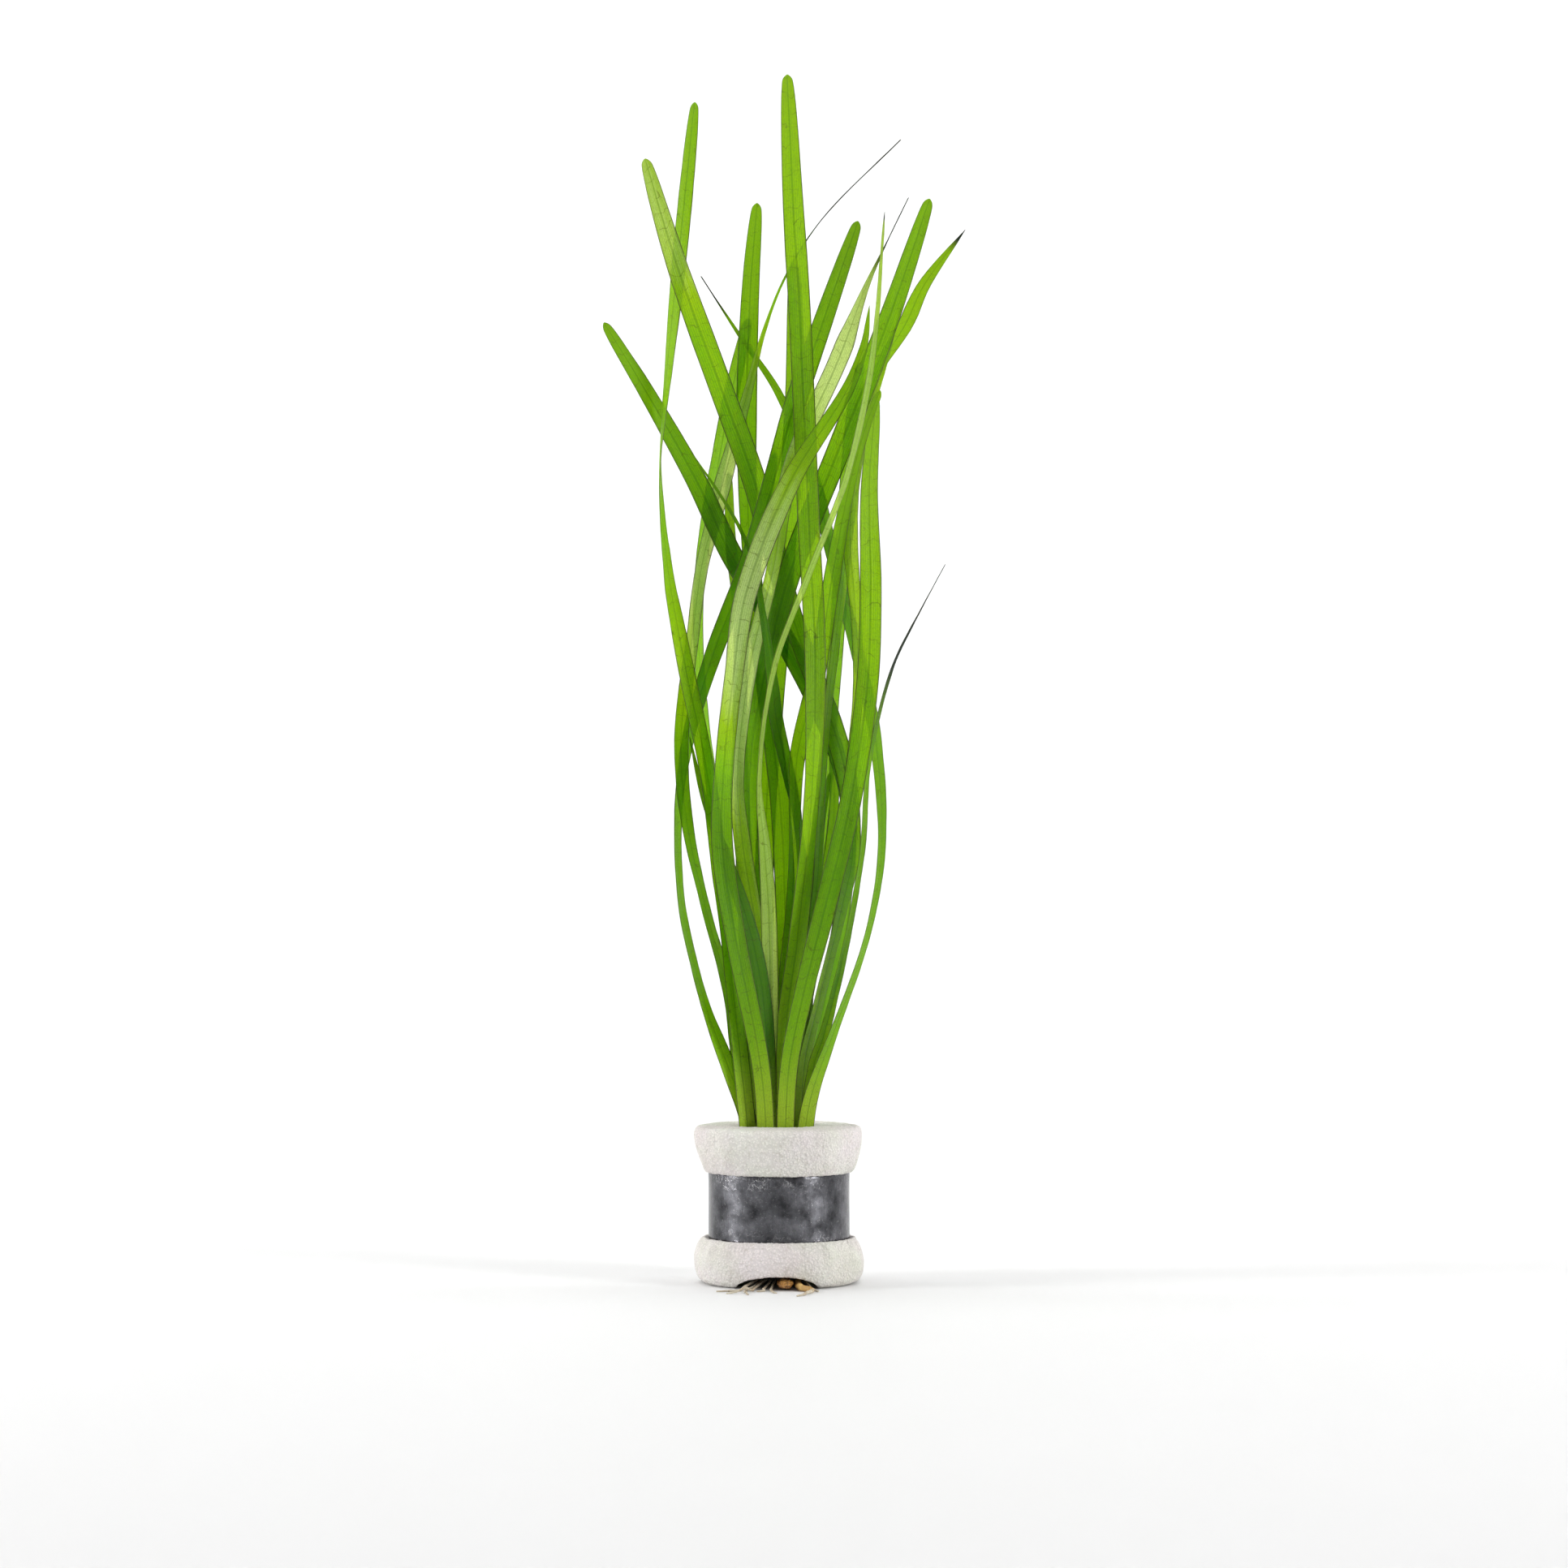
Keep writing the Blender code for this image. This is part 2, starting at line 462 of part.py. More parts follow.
def add_stub(group, finish):
    """The lumpy end of the rhizome, lying in the arch under the sleeve's front."""
    shape = bmesh.new()
    bmesh.ops.create_uvsphere(shape, u_segments=14, v_segments=9, radius=1.0)
    bmesh.ops.rotate(shape, verts=shape.verts, matrix=TIP_FORWARD)
    for vertex in shape.verts:
        x, y, z = vertex.co
        swell = 1 + STUB_LUMP * math.sin(5.2 * y + 0.4) * math.cos(2.4 * x + 0.8)
        vertex.co.x = STUB_CENTRE[0] + x * swell * STUB_HALF_SIZE[0]
        vertex.co.y = STUB_CENTRE[1] + y * STUB_HALF_SIZE[1]
        vertex.co.z = STUB_CENTRE[2] + z * STUB_HALF_SIZE[2]
    return mesh_object("rhizome_stub", shape, group, finish)


def add_root(name, points, group, finish):
    """A filled wire through (sideways, depth, height, radius) points, smoothed between them."""
    line = bpy.data.curves.new(name, "CURVE")
    line.dimensions = "3D"
    line.bevel_depth = 1.0
    line.bevel_resolution = 2
    line.render_resolution_u = 0
    line.use_fill_caps = True
    spline = line.splines.new("POLY")
    spline.points.add(ROOT_STEPS)
    knots = list(range(len(points)))
    for i in range(ROOT_STEPS + 1):
        at = i * (len(points) - 1) / ROOT_STEPS
        x, y, z, radius = (between(knots, [p[k] for p in points], at) * MM for k in range(4))
        spline.points[i].co = (x, y, z, 1)
        spline.points[i].radius = radius
    return add_object(name, line, group, finish)


def build():
    clear_scene()
    group = new_collection(COLLECTION)
    cutters = new_collection("cutters")
    green = material("leaf", (0.3, 0.5, 0.06), 0.35)
    foam = material("foam", (0.86, 0.84, 0.79), 0.9)
    lead = material("lead", (0.3, 0.3, 0.32), 0.42, 0.9)
    crown = material("rootstock", (0.72, 0.62, 0.4), 0.6)
    stub = material("rhizome", (0.55, 0.3, 0.12), 0.6)
    fine = material("root", (0.7, 0.62, 0.48), 0.6)
    add_sleeve(group, cutters, foam)
    add_band(group, lead)
    add_crown(group, crown)
    add_stub(group, stub)
    for name, spec in LEAVES.items():
        add_leaf(name, spec, group, green)
    for name, (radius, points) in FINE_ROOTS.items():
        add_root(name, [(*p, radius) for p in points], group, fine)
    add_root("root_6", THICK_ROOT, group, fine)


build()
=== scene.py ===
"""Looks for the vallisneria: ribbon leaves, roots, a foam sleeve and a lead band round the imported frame.

The plant stands on z = 0 with the sleeve's axis on X = 0, Y = 0, and is seen from -Y. Sizes are in metres.
"""

import math
import random

import bmesh
import bpy
from bpy.props import FloatProperty, FloatVectorProperty, IntProperty, PointerProperty
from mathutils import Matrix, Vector, noise


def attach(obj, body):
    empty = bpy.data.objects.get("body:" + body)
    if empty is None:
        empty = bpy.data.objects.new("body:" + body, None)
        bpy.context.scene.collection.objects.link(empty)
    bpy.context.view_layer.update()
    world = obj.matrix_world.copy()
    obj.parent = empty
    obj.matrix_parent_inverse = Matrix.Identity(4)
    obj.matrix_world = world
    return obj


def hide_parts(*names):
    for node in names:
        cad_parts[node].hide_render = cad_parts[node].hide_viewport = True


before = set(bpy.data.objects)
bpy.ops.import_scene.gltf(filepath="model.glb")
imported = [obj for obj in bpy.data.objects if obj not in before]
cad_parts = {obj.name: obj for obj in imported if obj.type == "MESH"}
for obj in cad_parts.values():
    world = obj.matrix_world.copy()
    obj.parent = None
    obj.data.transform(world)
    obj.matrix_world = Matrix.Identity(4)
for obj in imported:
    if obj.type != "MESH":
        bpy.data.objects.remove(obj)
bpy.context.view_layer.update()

bl_info = {
    "name": "Vallisneria bunch",
    "version": (1, 0, 0),
    "blender": (4, 5, 0),
    "location": "View3D > Sidebar > Vallisneria",
    "description": "Ribbon-leaved aquarium plant in a foam sleeve with a lead band",
    "category": "Add Mesh",
}

MM = 0.001
BODY = "root"

# Leaves, as in the part's source: sizes of the blade
BASE_WIDTH = 3.9 * MM
NARROW_BELOW = 38 * MM
FULL_ABOVE = 88 * MM
TIP_SHAPES = {
    "tongue": (40 * MM, 0.22), "point": (46 * MM, 0.62), "lance": (18 * MM, 0.75),
    "thread": (52 * MM, 1.0), "whip": (32 * MM, 2.2), "lash": (75 * MM, 2.0),
}
ROUND_TIP = {
    "tongue": 1.4 * MM, "point": 1.0 * MM, "lance": 0.6 * MM,
    "thread": 0.4 * MM, "whip": 0.3 * MM, "lash": 0.3 * MM,
}
THREAD_WIDTH = 0.26 * MM
# How far from its end a tip has dried to a dark thread, in millimetres
DRY_TIPS = {
    "leaf_06": 9, "leaf_08": 15, "leaf_10": 2, "leaf_11": 34, "leaf_13": 4, "leaf_16": 34, "leaf_20": 9,
}
FOOT_SINK = 1.2 * MM
STATIONS = 120
TIP_STATIONS = 12
TIP_END = 0.02 * MM

# Each leaf: width, tip, paleness, and points (height, sideways, depth, turn about its length in degrees)
LEAVES = {
    "leaf_01": (4.9, "tongue", 0.25, [
        (27.5, 1.2, -3.3, 0), (57, 1.6, -3.4, 15), (76, 4.1, -4.4, 32), (107, 7.2, -6.8, 45),
        (136, 8.0, -8.3, 18), (169, 6.5, -9.4, 5), (211, 4.7, -11.0, 0), (240, 3.0, -9.5, 0),
        (267, 1.8, -6.0, 0)]),
    "leaf_02": (4.2, "tongue", 0.05, [
        (27.5, -6.2, -3.3, 15), (57, -9.2, -4.4, 30), (76, -11.4, -6.2, 50), (91, -13.4, -7.8, 48),
        (112, -15.6, -8.4, 38), (136, -20.5, -7.2, 32), (158, -24.5, -4.6, 60), (180, -26.1, -2.6, 88),
        (206, -24.1, -0.6, 122), (232, -21.6, 1.0, 148), (262, -18.7, 2.0, 160)]),
    "leaf_03": (5.3, "tongue", 0.1, [
        (27.5, 5.0, -0.7, 10), (48, 5.6, -0.4, 45), (62, 8.8, 0.6, 62), (83, 14.0, 1.4, 62),
        (96, 16.4, 1.4, 50), (117, 13.9, 1.0, 30), (145, 3.8, 0.0, 30), (160, -0.5, -0.8, 20),
        (178, -5.6, -1.4, 0), (198, -12.8, -2.2, 0), (225, -22.5, -3.0, 10), (249, -29.7, -1.5, 20)]),
    "leaf_04": (4.7, "tongue", 0.0, [
        (27.5, 1.2, 0.7, 0), (48, 1.6, 0.8, 5), (66, 1.8, 0.8, 12), (83, 1.5, 0.6, 15),
        (107, 0.2, 0.6, 20), (125, -2.0, 2.2, 25), (145, -4.5, 5.0, 25), (167, -6.7, 6.4, 35),
        (196, -7.2, 6.6, 12), (222, -6.3, 6.0, 10), (240, -4.9, 5.6, 5)]),
    "leaf_05": (4.9, "tongue", -0.35, [
        (27.5, 5.0, 3.3, 0), (48, 7.2, 5.3, 25), (75, 13.0, 6.4, 40), (103, 15.6, 4.8, 45),
        (120, 11.9, 3.8, 35), (140, 2.7, 2.8, 10), (161, -10.3, 2.2, 0), (178, -18.4, 2.2, 10),
        (198, -29.7, 2.0, 25), (213, -38.9, 1.6, 30)]),
    "leaf_06": (3.8, "thread", -0.1, [
        (27.5, 5.0, -3.3, 0), (41, 7.0, -3.6, 30), (55, 11.9, -3.4, 58), (76, 19.3, -2.8, 68),
        (96, 22.7, -2.0, 60), (119, 21.6, -0.8, 45), (135, 18.5, 1.4, 40), (160, 12.2, 4.4, 40),
        (181, 7.0, 7.0, 30), (198, -0.2, 8.4, 20), (211, -9.0, 8.6, 15), (224, -17.5, 8.4, 20)]),
    "leaf_07": (4.9, "tongue", 0.0, [
        (27.5, -6.2, -2.0, 0), (36, -6.9, -1.9, 20), (48, -11.2, -3.0, 36), (62, -16.4, -1.3, 64),
        (83, -21.4, -0.4, 72), (105, -22.3, 0.6, 70), (122, -19.8, 0.8, 56), (131, -17.2, -0.2, 48),
        (141, -13.9, -2.2, 40), (160, -6.4, -4.8, 30), (179, -0.7, -5.0, 15), (193, 3.1, -4.6, 15),
        (212, 9.5, -4.0, 5), (235, 17.5, -3.0, 20)]),
    "leaf_08": (4.2, "whip", 0.6, [
        (27.5, -2.6, -0.6, 0), (56, -3.0, -1.2, -15), (77, -4.8, -2.6, -30), (96, -7.9, -4.9, -25),
        (112, -9.2, -5.8, -45), (136, -6.5, -6.4, -35), (158, -1.3, -6.9, -42), (180, 2.7, -7.2, -20),
        (205, 13.5, -6.8, 0), (221, 19.6, -6.2, 25), (240, 28.6, -5.0, 30)]),
    "leaf_09": (5.2, "tongue", 0.1, [
        (27.5, -2.6, 0.8, 0), (60, -4.4, 0.6, 26), (80, -5.6, 0.3, 35), (100, -6.5, -0.7, 44),
        (119, -5.9, -2.2, 42), (141, -1.8, -3.8, 20), (158, 2.7, -4.6, 15), (185, 13.5, -6.6, 0),
        (212, 23.9, -8.8, 15), (239, 33.1, -11.0, 25)]),
    "leaf_10": (3.7, "point", 0.9, [
        (27.5, -2.6, -2.0, 0), (48, -2.2, -2.8, 2), (60, -1.9, -3.3, 4), (83, -2.3, -4.8, 22),
        (96, -3.1, -6.8, 45), (112, -4.3, -9.8, 74), (136, -1.0, -14.2, 72), (158, 7.2, -16.8, 70),
        (178, 14.9, -18.4, 70), (203, 20.3, -19.6, 66), (235, 23.0, -21.5, 60)]),
    "leaf_11": (3.9, "lash", 0.0, [
        (27.5, -6.2, -0.6, 5), (36, -6.9, -0.2, 20), (48, -9.0, 0.4, 40), (65, -11.4, 0.0, 52),
        (83, -16.2, -1.8, 60), (102, -20.3, -3.6, 48), (118, -21.6, -4.8, 36), (130, -20.8, -4.4, 36),
        (141, -19.4, -1.6, 45), (158, -17.3, 3.0, 45), (170, -14.4, 4.4, 28), (182, -11.3, 4.0, 10),
        (198, -6.8, 2.4, 20), (212, -3.0, 0.6, 40), (225, 2.5, -1.0, 40), (237, 10.8, -2.2, 30),
        (253, 27.0, -3.4, 30)]),
    "leaf_12": (3.9, "tongue", 0.15, [
        (27.5, 1.2, -1.9, 0), (48, 1.2, -1.8, 3), (60, 1.3, -1.8, 6), (83, 2.9, -2.2, 42),
        (96, 3.4, -2.8, 52), (107, 3.6, -3.2, 45), (118, 4.3, -3.6, 25), (136, 8.6, -4.6, 10),
        (157, 11.9, -5.9, 18), (175, 15.3, -8.2, 42), (190, 19.4, -9.6, 45), (197, 22.3, -9.9, 30)]),
    "leaf_13": (3.8, "lance", 0.3, [
        (27.5, 5.0, 0.7, 0), (48, 5.3, 1.5, 18), (60, 5.9, 1.6, 34), (90, 8.6, -1.0, 58),
        (119, 10.0, -2.8, 62), (150, 13.6, -0.4, 60), (185, 18.2, 0.4, 62), (202, 22.0, -1.2, 58),
        (212, 27.9, -2.8, 30), (221, 32.2, -4.0, 15), (233, 41.2, -4.4, 20)]),
    "leaf_14": (3.4, "point", -0.7, [
        (27.5, 1.2, 2.1, 0), (48, 1.6, 3.0, 5), (60, 2.4, 3.4, 10), (83, 5.4, 2.9, 25), (92, 5.3, 1.8, 45),
        (98, 4.6, 0.8, 58), (105, 3.8, -0.3, 50), (112, 2.3, -1.8, 35), (125, -0.6, -3.6, 25),
        (134, -1.6, -7.0, 45), (148, -3.6, -10.6, 58), (160, -5.8, -10.8, 60), (170, -10.4, -9.4, 62),
        (183, -18.9, -8.6, 50)]),
    "leaf_15": (3.0, "tongue", 0.1, [
        (27.5, -6.2, 0.8, 5), (48, -6.6, 2.2, 10), (60, -6.8, 3.0, 14), (100, -8.4, 4.4, 16),
        (147, -8.8, 5.8, 12), (165, -10.8, 6.6, 5), (180, -11.2, 7.2, 0)]),
    "leaf_16": (3.0, "thread", -0.2, [
        (27.5, 5.0, -2.0, 0), (48, 7.7, -2.0, 25), (55, 10.0, -1.8, 38), (76, 15.1, -1.6, 60),
        (96, 18.5, -2.4, 66), (115, 19.9, -4.8, 66), (136, 25.0, -5.2, 60), (149, 31.3, -6.0, 55),
        (159, 36.7, -6.6, 50)]),
    "leaf_17": (3.9, "point", -0.8, [
        (27.5, -2.6, -3.3, 0), (48, -2.4, -4.1, 25), (66, -3.9, -5.2, 18), (81, -7.2, -6.3, 22),
        (95, -12.0, -4.4, 20), (107, -16.4, -5.2, 35), (121, -19.8, -5.4, 35)]),
    "leaf_18": (4.9, "point", 0.05, [
        (27.5, -2.6, -4.7, 0), (48, -4.0, -5.8, 0), (76, -9.4, -8.8, 20), (96, -12.4, -10.4, 12),
        (112, -12.2, -11.4, 30), (136, -9.7, -12.5, 32), (153, -7.0, -13.4, 12), (177, 2.7, -15.0, 0),
        (196, 14.6, -16.0, 0), (206, 18.5, -16.4, 15), (215, 19.8, -16.8, 30)]),
    "leaf_19": (4.9, "tongue", 0.1, [
        (27.5, 1.2, -4.7, 0), (48, 2.2, -5.8, 10), (66, 5.8, -7.0, 18), (83, 10.1, -7.8, 12),
        (107, 15.8, -8.3, 12), (132, 19.4, -8.4, 0), (153, 20.2, -8.2, 10), (175, 19.9, -7.0, 25),
        (196, 21.4, -5.6, 35)]),
    "leaf_20": (4.0, "thread", 0.55, [
        (27.5, 1.2, -0.6, 0), (48, 3.2, 0.0, 18), (66, 6.4, -0.6, 30), (90, 12.2, -3.4, 50),
        (115, 16.0, -4.4, 52), (134, 17.5, -4.0, 55), (149, 16.9, -3.4, 50), (167, 15.8, -3.2, 30),
        (185, 18.0, -3.2, 50), (204, 23.8, -5.0, 50), (217, 27.2, -5.6, 45)]),
    "leaf_21": (3.0, "tongue", -0.1, [
        (27.5, 1.2, 3.5, 0), (48, 3.0, 5.0, 10), (70, 6.5, 6.4, 20), (100, 11.9, 7.4, 38),
        (119, 12.1, 7.6, 30), (130, 11.2, 7.6, 20)]),
    "leaf_22": (3.0, "tongue", 0.0, [
        (27.5, 5.1, 2.0, 0), (48, 5.6, 3.2, 12), (60, 6.1, 3.6, 25), (83, 7.6, 2.8, 50), (98, 9.0, 1.9, 50),
        (113, 11.2, 1.9, 45)]),
    "leaf_23": (4.5, "tongue", 0.0, [
        (27.5, -6.2, 2.1, -5), (48, -8.1, 4.2, -15), (60, -9.4, 5.6, -28), (100, -14.0, 9.0, -52),
        (150, -18.2, 14.5, -58), (190, -12.5, 20.0, -30), (216, -7.0, 24.5, -15)]),
    "leaf_24": (4.6, "tongue", 0.15, [
        (27.5, -2.6, 2.2, 0), (60, -3.4, 4.4, 10), (100, -3.0, 8.2, 25), (150, 0.5, 12.4, 12),
        (195, 3.4, 17.0, 0), (228, 3.4, 21.0, 0)]),
    "leaf_25": (4.2, "tongue", -0.1, [
        (27.5, -2.6, 3.6, 0), (60, -5.0, 7.8, 18), (100, -8.0, 14.5, 35), (140, -8.5, 21.0, 40),
        (170, -4.0, 27.0, 30), (186, -1.0, 30.4, 20)]),
    "leaf_26": (4.6, "tongue", 0.05, [
        (27.5, -0.7, 5.0, 0), (60, 2.5, 9.0, -20), (100, 9.0, 13.6, -38), (150, 13.5, 18.0, -42),
        (190, 16.4, 22.5, -25), (206, 18.4, 24.6, -20)]),
}

# Where a blade is paler (+) or darker (-): middle height, reach either way (mm) and strength; the paler
# stretches are mostly painted sheen, a painted highlight along the blade
SHEEN_AND_TONE_STRETCHES = {
    "leaf_02": [(140, 25, 0.35), (215, 50, 0.2)],
    "leaf_03": [(146, 32, -0.6), (240, 30, 0.9)],
    "leaf_05": [(146, 30, -0.5)],
    "leaf_06": [(156, 28, -0.6), (100, 25, -0.3)],
    "leaf_07": [(140, 36, -0.6), (232, 30, -0.5)],
    "leaf_08": [(130, 32, 0.5), (206, 26, 0.8)],
    "leaf_09": [(140, 45, -0.65), (230, 30, -0.4)],
    "leaf_11": [(168, 52, 1.3), (92, 40, -0.3)],
    "leaf_16": [(52, 14, 0.6)],
    "leaf_18": [(150, 40, 1.2), (92, 40, -0.35)],
    "leaf_19": [(150, 30, 0.15), (90, 36, -0.35)],
}

# Roots: route over the ground as points (sideways, depth, height, radius), in millimetres
ROOTS = {
    "root_1": [(-4.0, -7.0, 1.7, 0.28), (-7.2, -16.5, 0.9, 0.27), (-8.4, -19.6, 0.3, 0.26),
               (-10.4, -21.0, 0.27, 0.24), (-13.6, -21.8, 0.24, 0.16)],
    "root_2": [(-3.3, -7.8, 1.5, 0.26), (-6.2, -17.2, 0.5, 0.25), (-7.4, -20.4, 0.26, 0.24),
               (-7.2, -24.4, 0.25, 0.22), (-6.6, -28.2, 0.22, 0.14)],
    "root_3": [(-2.5, -8.2, 1.7, 0.28), (-5.1, -17.6, 0.6, 0.27), (-5.8, -20.4, 0.35, 0.26),
               (-7.4, -22.8, 1.1, 0.26), (-9.2, -24.4, 0.45, 0.22), (-11.4, -26.0, 0.2, 0.15)],
    "root_4": [(-1.7, -8.6, 1.4, 0.26), (-3.2, -17.8, 0.5, 0.25), (-3.2, -20.2, 0.26, 0.23),
               (-4.8, -21.6, 0.2, 0.16)],
    "root_5": [(-0.8, -9.4, 1.3, 0.26), (-1.7, -18.2, 0.5, 0.25), (-1.5, -21.2, 0.26, 0.24),
               (-0.6, -25.2, 0.2, 0.17)],
    "root_7": [(5.6, -9.4, 1.4, 0.24), (7.0, -17.2, 0.6, 0.23), (8.0, -19.8, 0.24, 0.22),
               (8.6, -21.2, 0.2, 0.16)],
    "root_6": [(3.8, -7.6, 1.5, 0.75), (4.3, -15.5, 0.95, 0.75), (4.9, -19.4, 0.8, 0.72),
               (6.5, -21.6, 0.66, 0.6), (7.2, -23.6, 0.55, 0.46), (6.1, -25.8, 0.42, 0.32),
               (5.6, -28.4, 0.3, 0.26), (3.9, -31.0, 0.2, 0.16)],
}
ROOT_STEP = 0.16 * MM

# Foam sleeve and the hole and arch in it
SLEEVE_RADIUS = 18.6 * MM
SLEEVE_HEIGHT = 34.8 * MM
WAIST_RADIUS = 14.9 * MM
HOLE_CENTRE_X = -0.6 * MM
HOLE_HALF_WIDTH = 9.2 * MM
HOLE_HALF_DEPTH = 6.9 * MM
HOLE_SQUARENESS = 3.0
HOLE_LIP = 0.13
LIP_DEPTH = 4 * MM
ARCH_X = -0.4 * MM
ARCH_HALF_WIDTH = 9.0 * MM
ARCH_HEIGHT = 2.9 * MM
SLEEVE_TURNS = 260

# Lead band
BAND_BOTTOM = 9.6 * MM
BAND_TOP = 24.6 * MM
BAND_RADIUS = 15.35 * MM
BAND_THICKNESS = 0.6 * MM
BAND_LAP = math.radians(28)
BAND_LAP_GAP = 0.3 * MM
BAND_STEPS = 420
BAND_ROWS = 44

# Rootstock and the end of the rhizome
STUB_CENTRE = (1.4 * MM, -14.6 * MM, 1.25 * MM)
STUB_HALF_SIZE = (1.75 * MM, 5.9 * MM, 1.05 * MM)

# Camera: level, in front of the bunch
CAMERA_PLACE = (1.1 * MM, -1.1, 110.5 * MM)
CAMERA_LENS = 113.9
SENSOR = 36.0


# Settings

class LeafSettings(bpy.types.PropertyGroup):
    thickness: FloatProperty(
        name="Blade thickness", description="Thickness of the widest blade at its middle",
        default=0.42 * MM, min=0.05 * MM, unit="LENGTH", precision=5)
    channel: FloatProperty(
        name="Channel depth", description="How far the middle of the widest blade lies behind its edges",
        default=0.3 * MM, unit="LENGTH", precision=5)
    ripple: FloatProperty(
        name="Edge ripple", description="How far the edges wave", default=0.16 * MM,
        unit="LENGTH", precision=5)
    veins: FloatProperty(
        name="Veins", description="Number of long veins across a blade", default=11.0, min=1.0)
    green: FloatVectorProperty(
        name="Leaf green", description="Colour of an ordinary blade", subtype="COLOR",
        default=(0.27, 0.56, 0.004), min=0.0, max=1.0)
    yellow_green: FloatVectorProperty(
        name="Yellow green", description="Colour of a sunlit or young blade", subtype="COLOR",
        default=(0.42, 0.64, 0.01), min=0.0, max=1.0)
    pale_green: FloatVectorProperty(
        name="Pale green", description="Colour of the palest blades", subtype="COLOR",
        default=(0.66, 0.8, 0.34), min=0.0, max=1.0)
    dark_green: FloatVectorProperty(
        name="Dark green", description="Colour of the darkest blades", subtype="COLOR",
        default=(0.05, 0.23, 0.001), min=0.0, max=1.0)


class SleeveSettings(bpy.types.PropertyGroup):
    pore: FloatProperty(
        name="Pore size", description="Distance between the foam's cells", default=0.5 * MM,
        min=0.1 * MM, unit="LENGTH", precision=5)
    depth: FloatProperty(
        name="Pore depth", description="How deep the cells are cut", default=0.15 * MM,
        unit="LENGTH", precision=5)
    grid: FloatProperty(
        name="Surface grid", description="Size of the sleeve's faces", default=0.25 * MM,
        min=0.1 * MM, unit="LENGTH", precision=5)
    foam: FloatVectorProperty(
        name="Foam", description="Colour of the foam's cell walls", subtype="COLOR",
        default=(0.8, 0.785, 0.775), min=0.0, max=1.0)


class BandSettings(bpy.types.PropertyGroup):
    dents: FloatProperty(
        name="Dents", description="Depth of the shallow dents in the strip", default=0.07 * MM,
        unit="LENGTH", precision=5)
    lead: FloatVectorProperty(
        name="Lead", description="Colour of the dull metal", subtype="COLOR",
        default=(0.058, 0.058, 0.063), min=0.0, max=1.0)


class RootSettings(bpy.types.PropertyGroup):
    knots: FloatProperty(
        name="Unevenness", description="Share of its radius that a root swells and thins by",
        default=0.2, min=0.0, max=0.6, subtype="FACTOR")
    sides: IntProperty(
        name="Sides", description="Number of faces round a root", default=12, min=6, max=32)
    tan: FloatVectorProperty(
        name="Root tan", description="Colour of the roots", subtype="COLOR",
        default=(0.5, 0.4, 0.27), min=0.0, max=1.0)


class StageSettings(bpy.types.PropertyGroup):
    light: FloatProperty(
        name="Light", description="Strength of the studio lights", default=0.93, min=0.0, max=10.0)
    floor: FloatVectorProperty(
        name="Floor", description="Colour of the floor and backdrop", subtype="COLOR",
        default=(0.75, 0.75, 0.75), min=0.0, max=1.0)


# Node helpers

def new_tree(name, kind, inputs, outputs):
    """A node group with named inputs and outputs; each input is (name, socket type, default)."""
    tree = bpy.data.node_groups.new(name, kind)
    for label, socket, value in inputs:
        made = tree.interface.new_socket(label, in_out="INPUT", socket_type=socket)
        if value is not None:
            made.default_value = value
    for label, socket in outputs:
        tree.interface.new_socket(label, in_out="OUTPUT", socket_type=socket)
    return tree, tree.nodes.new("NodeGroupInput").outputs, tree.nodes.new("NodeGroupOutput").inputs


def feed(tree, socket, value):
    if isinstance(value, bpy.types.NodeSocket):
        tree.links.new(value, socket)
    elif value is not None:
        socket.default_value = value


def node(tree, kind, inputs=(), **settings):
    """Adds a node, sets its properties and fills its inputs, named or numbered, with values or links."""
    made = tree.nodes.new(kind)
    for label, value in settings.items():
        setattr(made, label, value)
    for key, value in dict(inputs).items():
        feed(tree, made.inputs[key], value)
    return made


def maths(tree, operation, *values, clamp=False):
    made = node(tree, "ShaderNodeMath", operation=operation, use_clamp=clamp)
    for socket, value in zip(made.inputs, values):
        feed(tree, socket, value)
    return made.outputs[0]


def vector(tree, operation, *values):
    made = node(tree, "ShaderNodeVectorMath", operation=operation)
    for socket, value in zip(made.inputs, values):
        feed(tree, socket, value)
    return made.outputs[0]


def combined(tree, x=0.0, y=0.0, z=0.0):
    return node(tree, "ShaderNodeCombineXYZ", {0: x, 1: y, 2: z}).outputs[0]


def stretch(tree, value, low, high, new_low=0.0, new_high=1.0, smooth=False):
    """The value moved from one range to another and held inside it."""
    made = node(
        tree, "ShaderNodeMapRange",
        {"Value": value, "From Min": low, "From Max": high, "To Min": new_low, "To Max": new_high},
        interpolation_type="SMOOTHSTEP" if smooth else "LINEAR")
    return made.outputs[0]


def mixed(tree, share, first, second, blend="MIX"):
    """A colour between two others."""
    made = tree.nodes.new("ShaderNodeMix")
    made.data_type = "RGBA"
    made.blend_type = blend
    for index, value in ((0, share), (6, first), (7, second)):
        if not isinstance(value, (bpy.types.NodeSocket, float, int)):
            value = (*value[:3], 1.0)
        feed(tree, made.inputs[index], value)
    return made.outputs[2]


def noise_at(tree, place, scale, detail=3.0, rough=0.5, dimensions="3D"):
    made = node(
        tree, "ShaderNodeTexNoise", noise_dimensions=dimensions,
        inputs={"Vector": place, "Scale": scale, "Detail": detail, "Roughness": rough})
    return made.outputs[0]


def placed_group(tree, group, inputs=()):
    made = tree.nodes.new("ShaderNodeGroup")
    made.node_tree = group
    for key, value in dict(inputs).items():
        feed(tree, made.inputs[key], value)
    return made.outputs


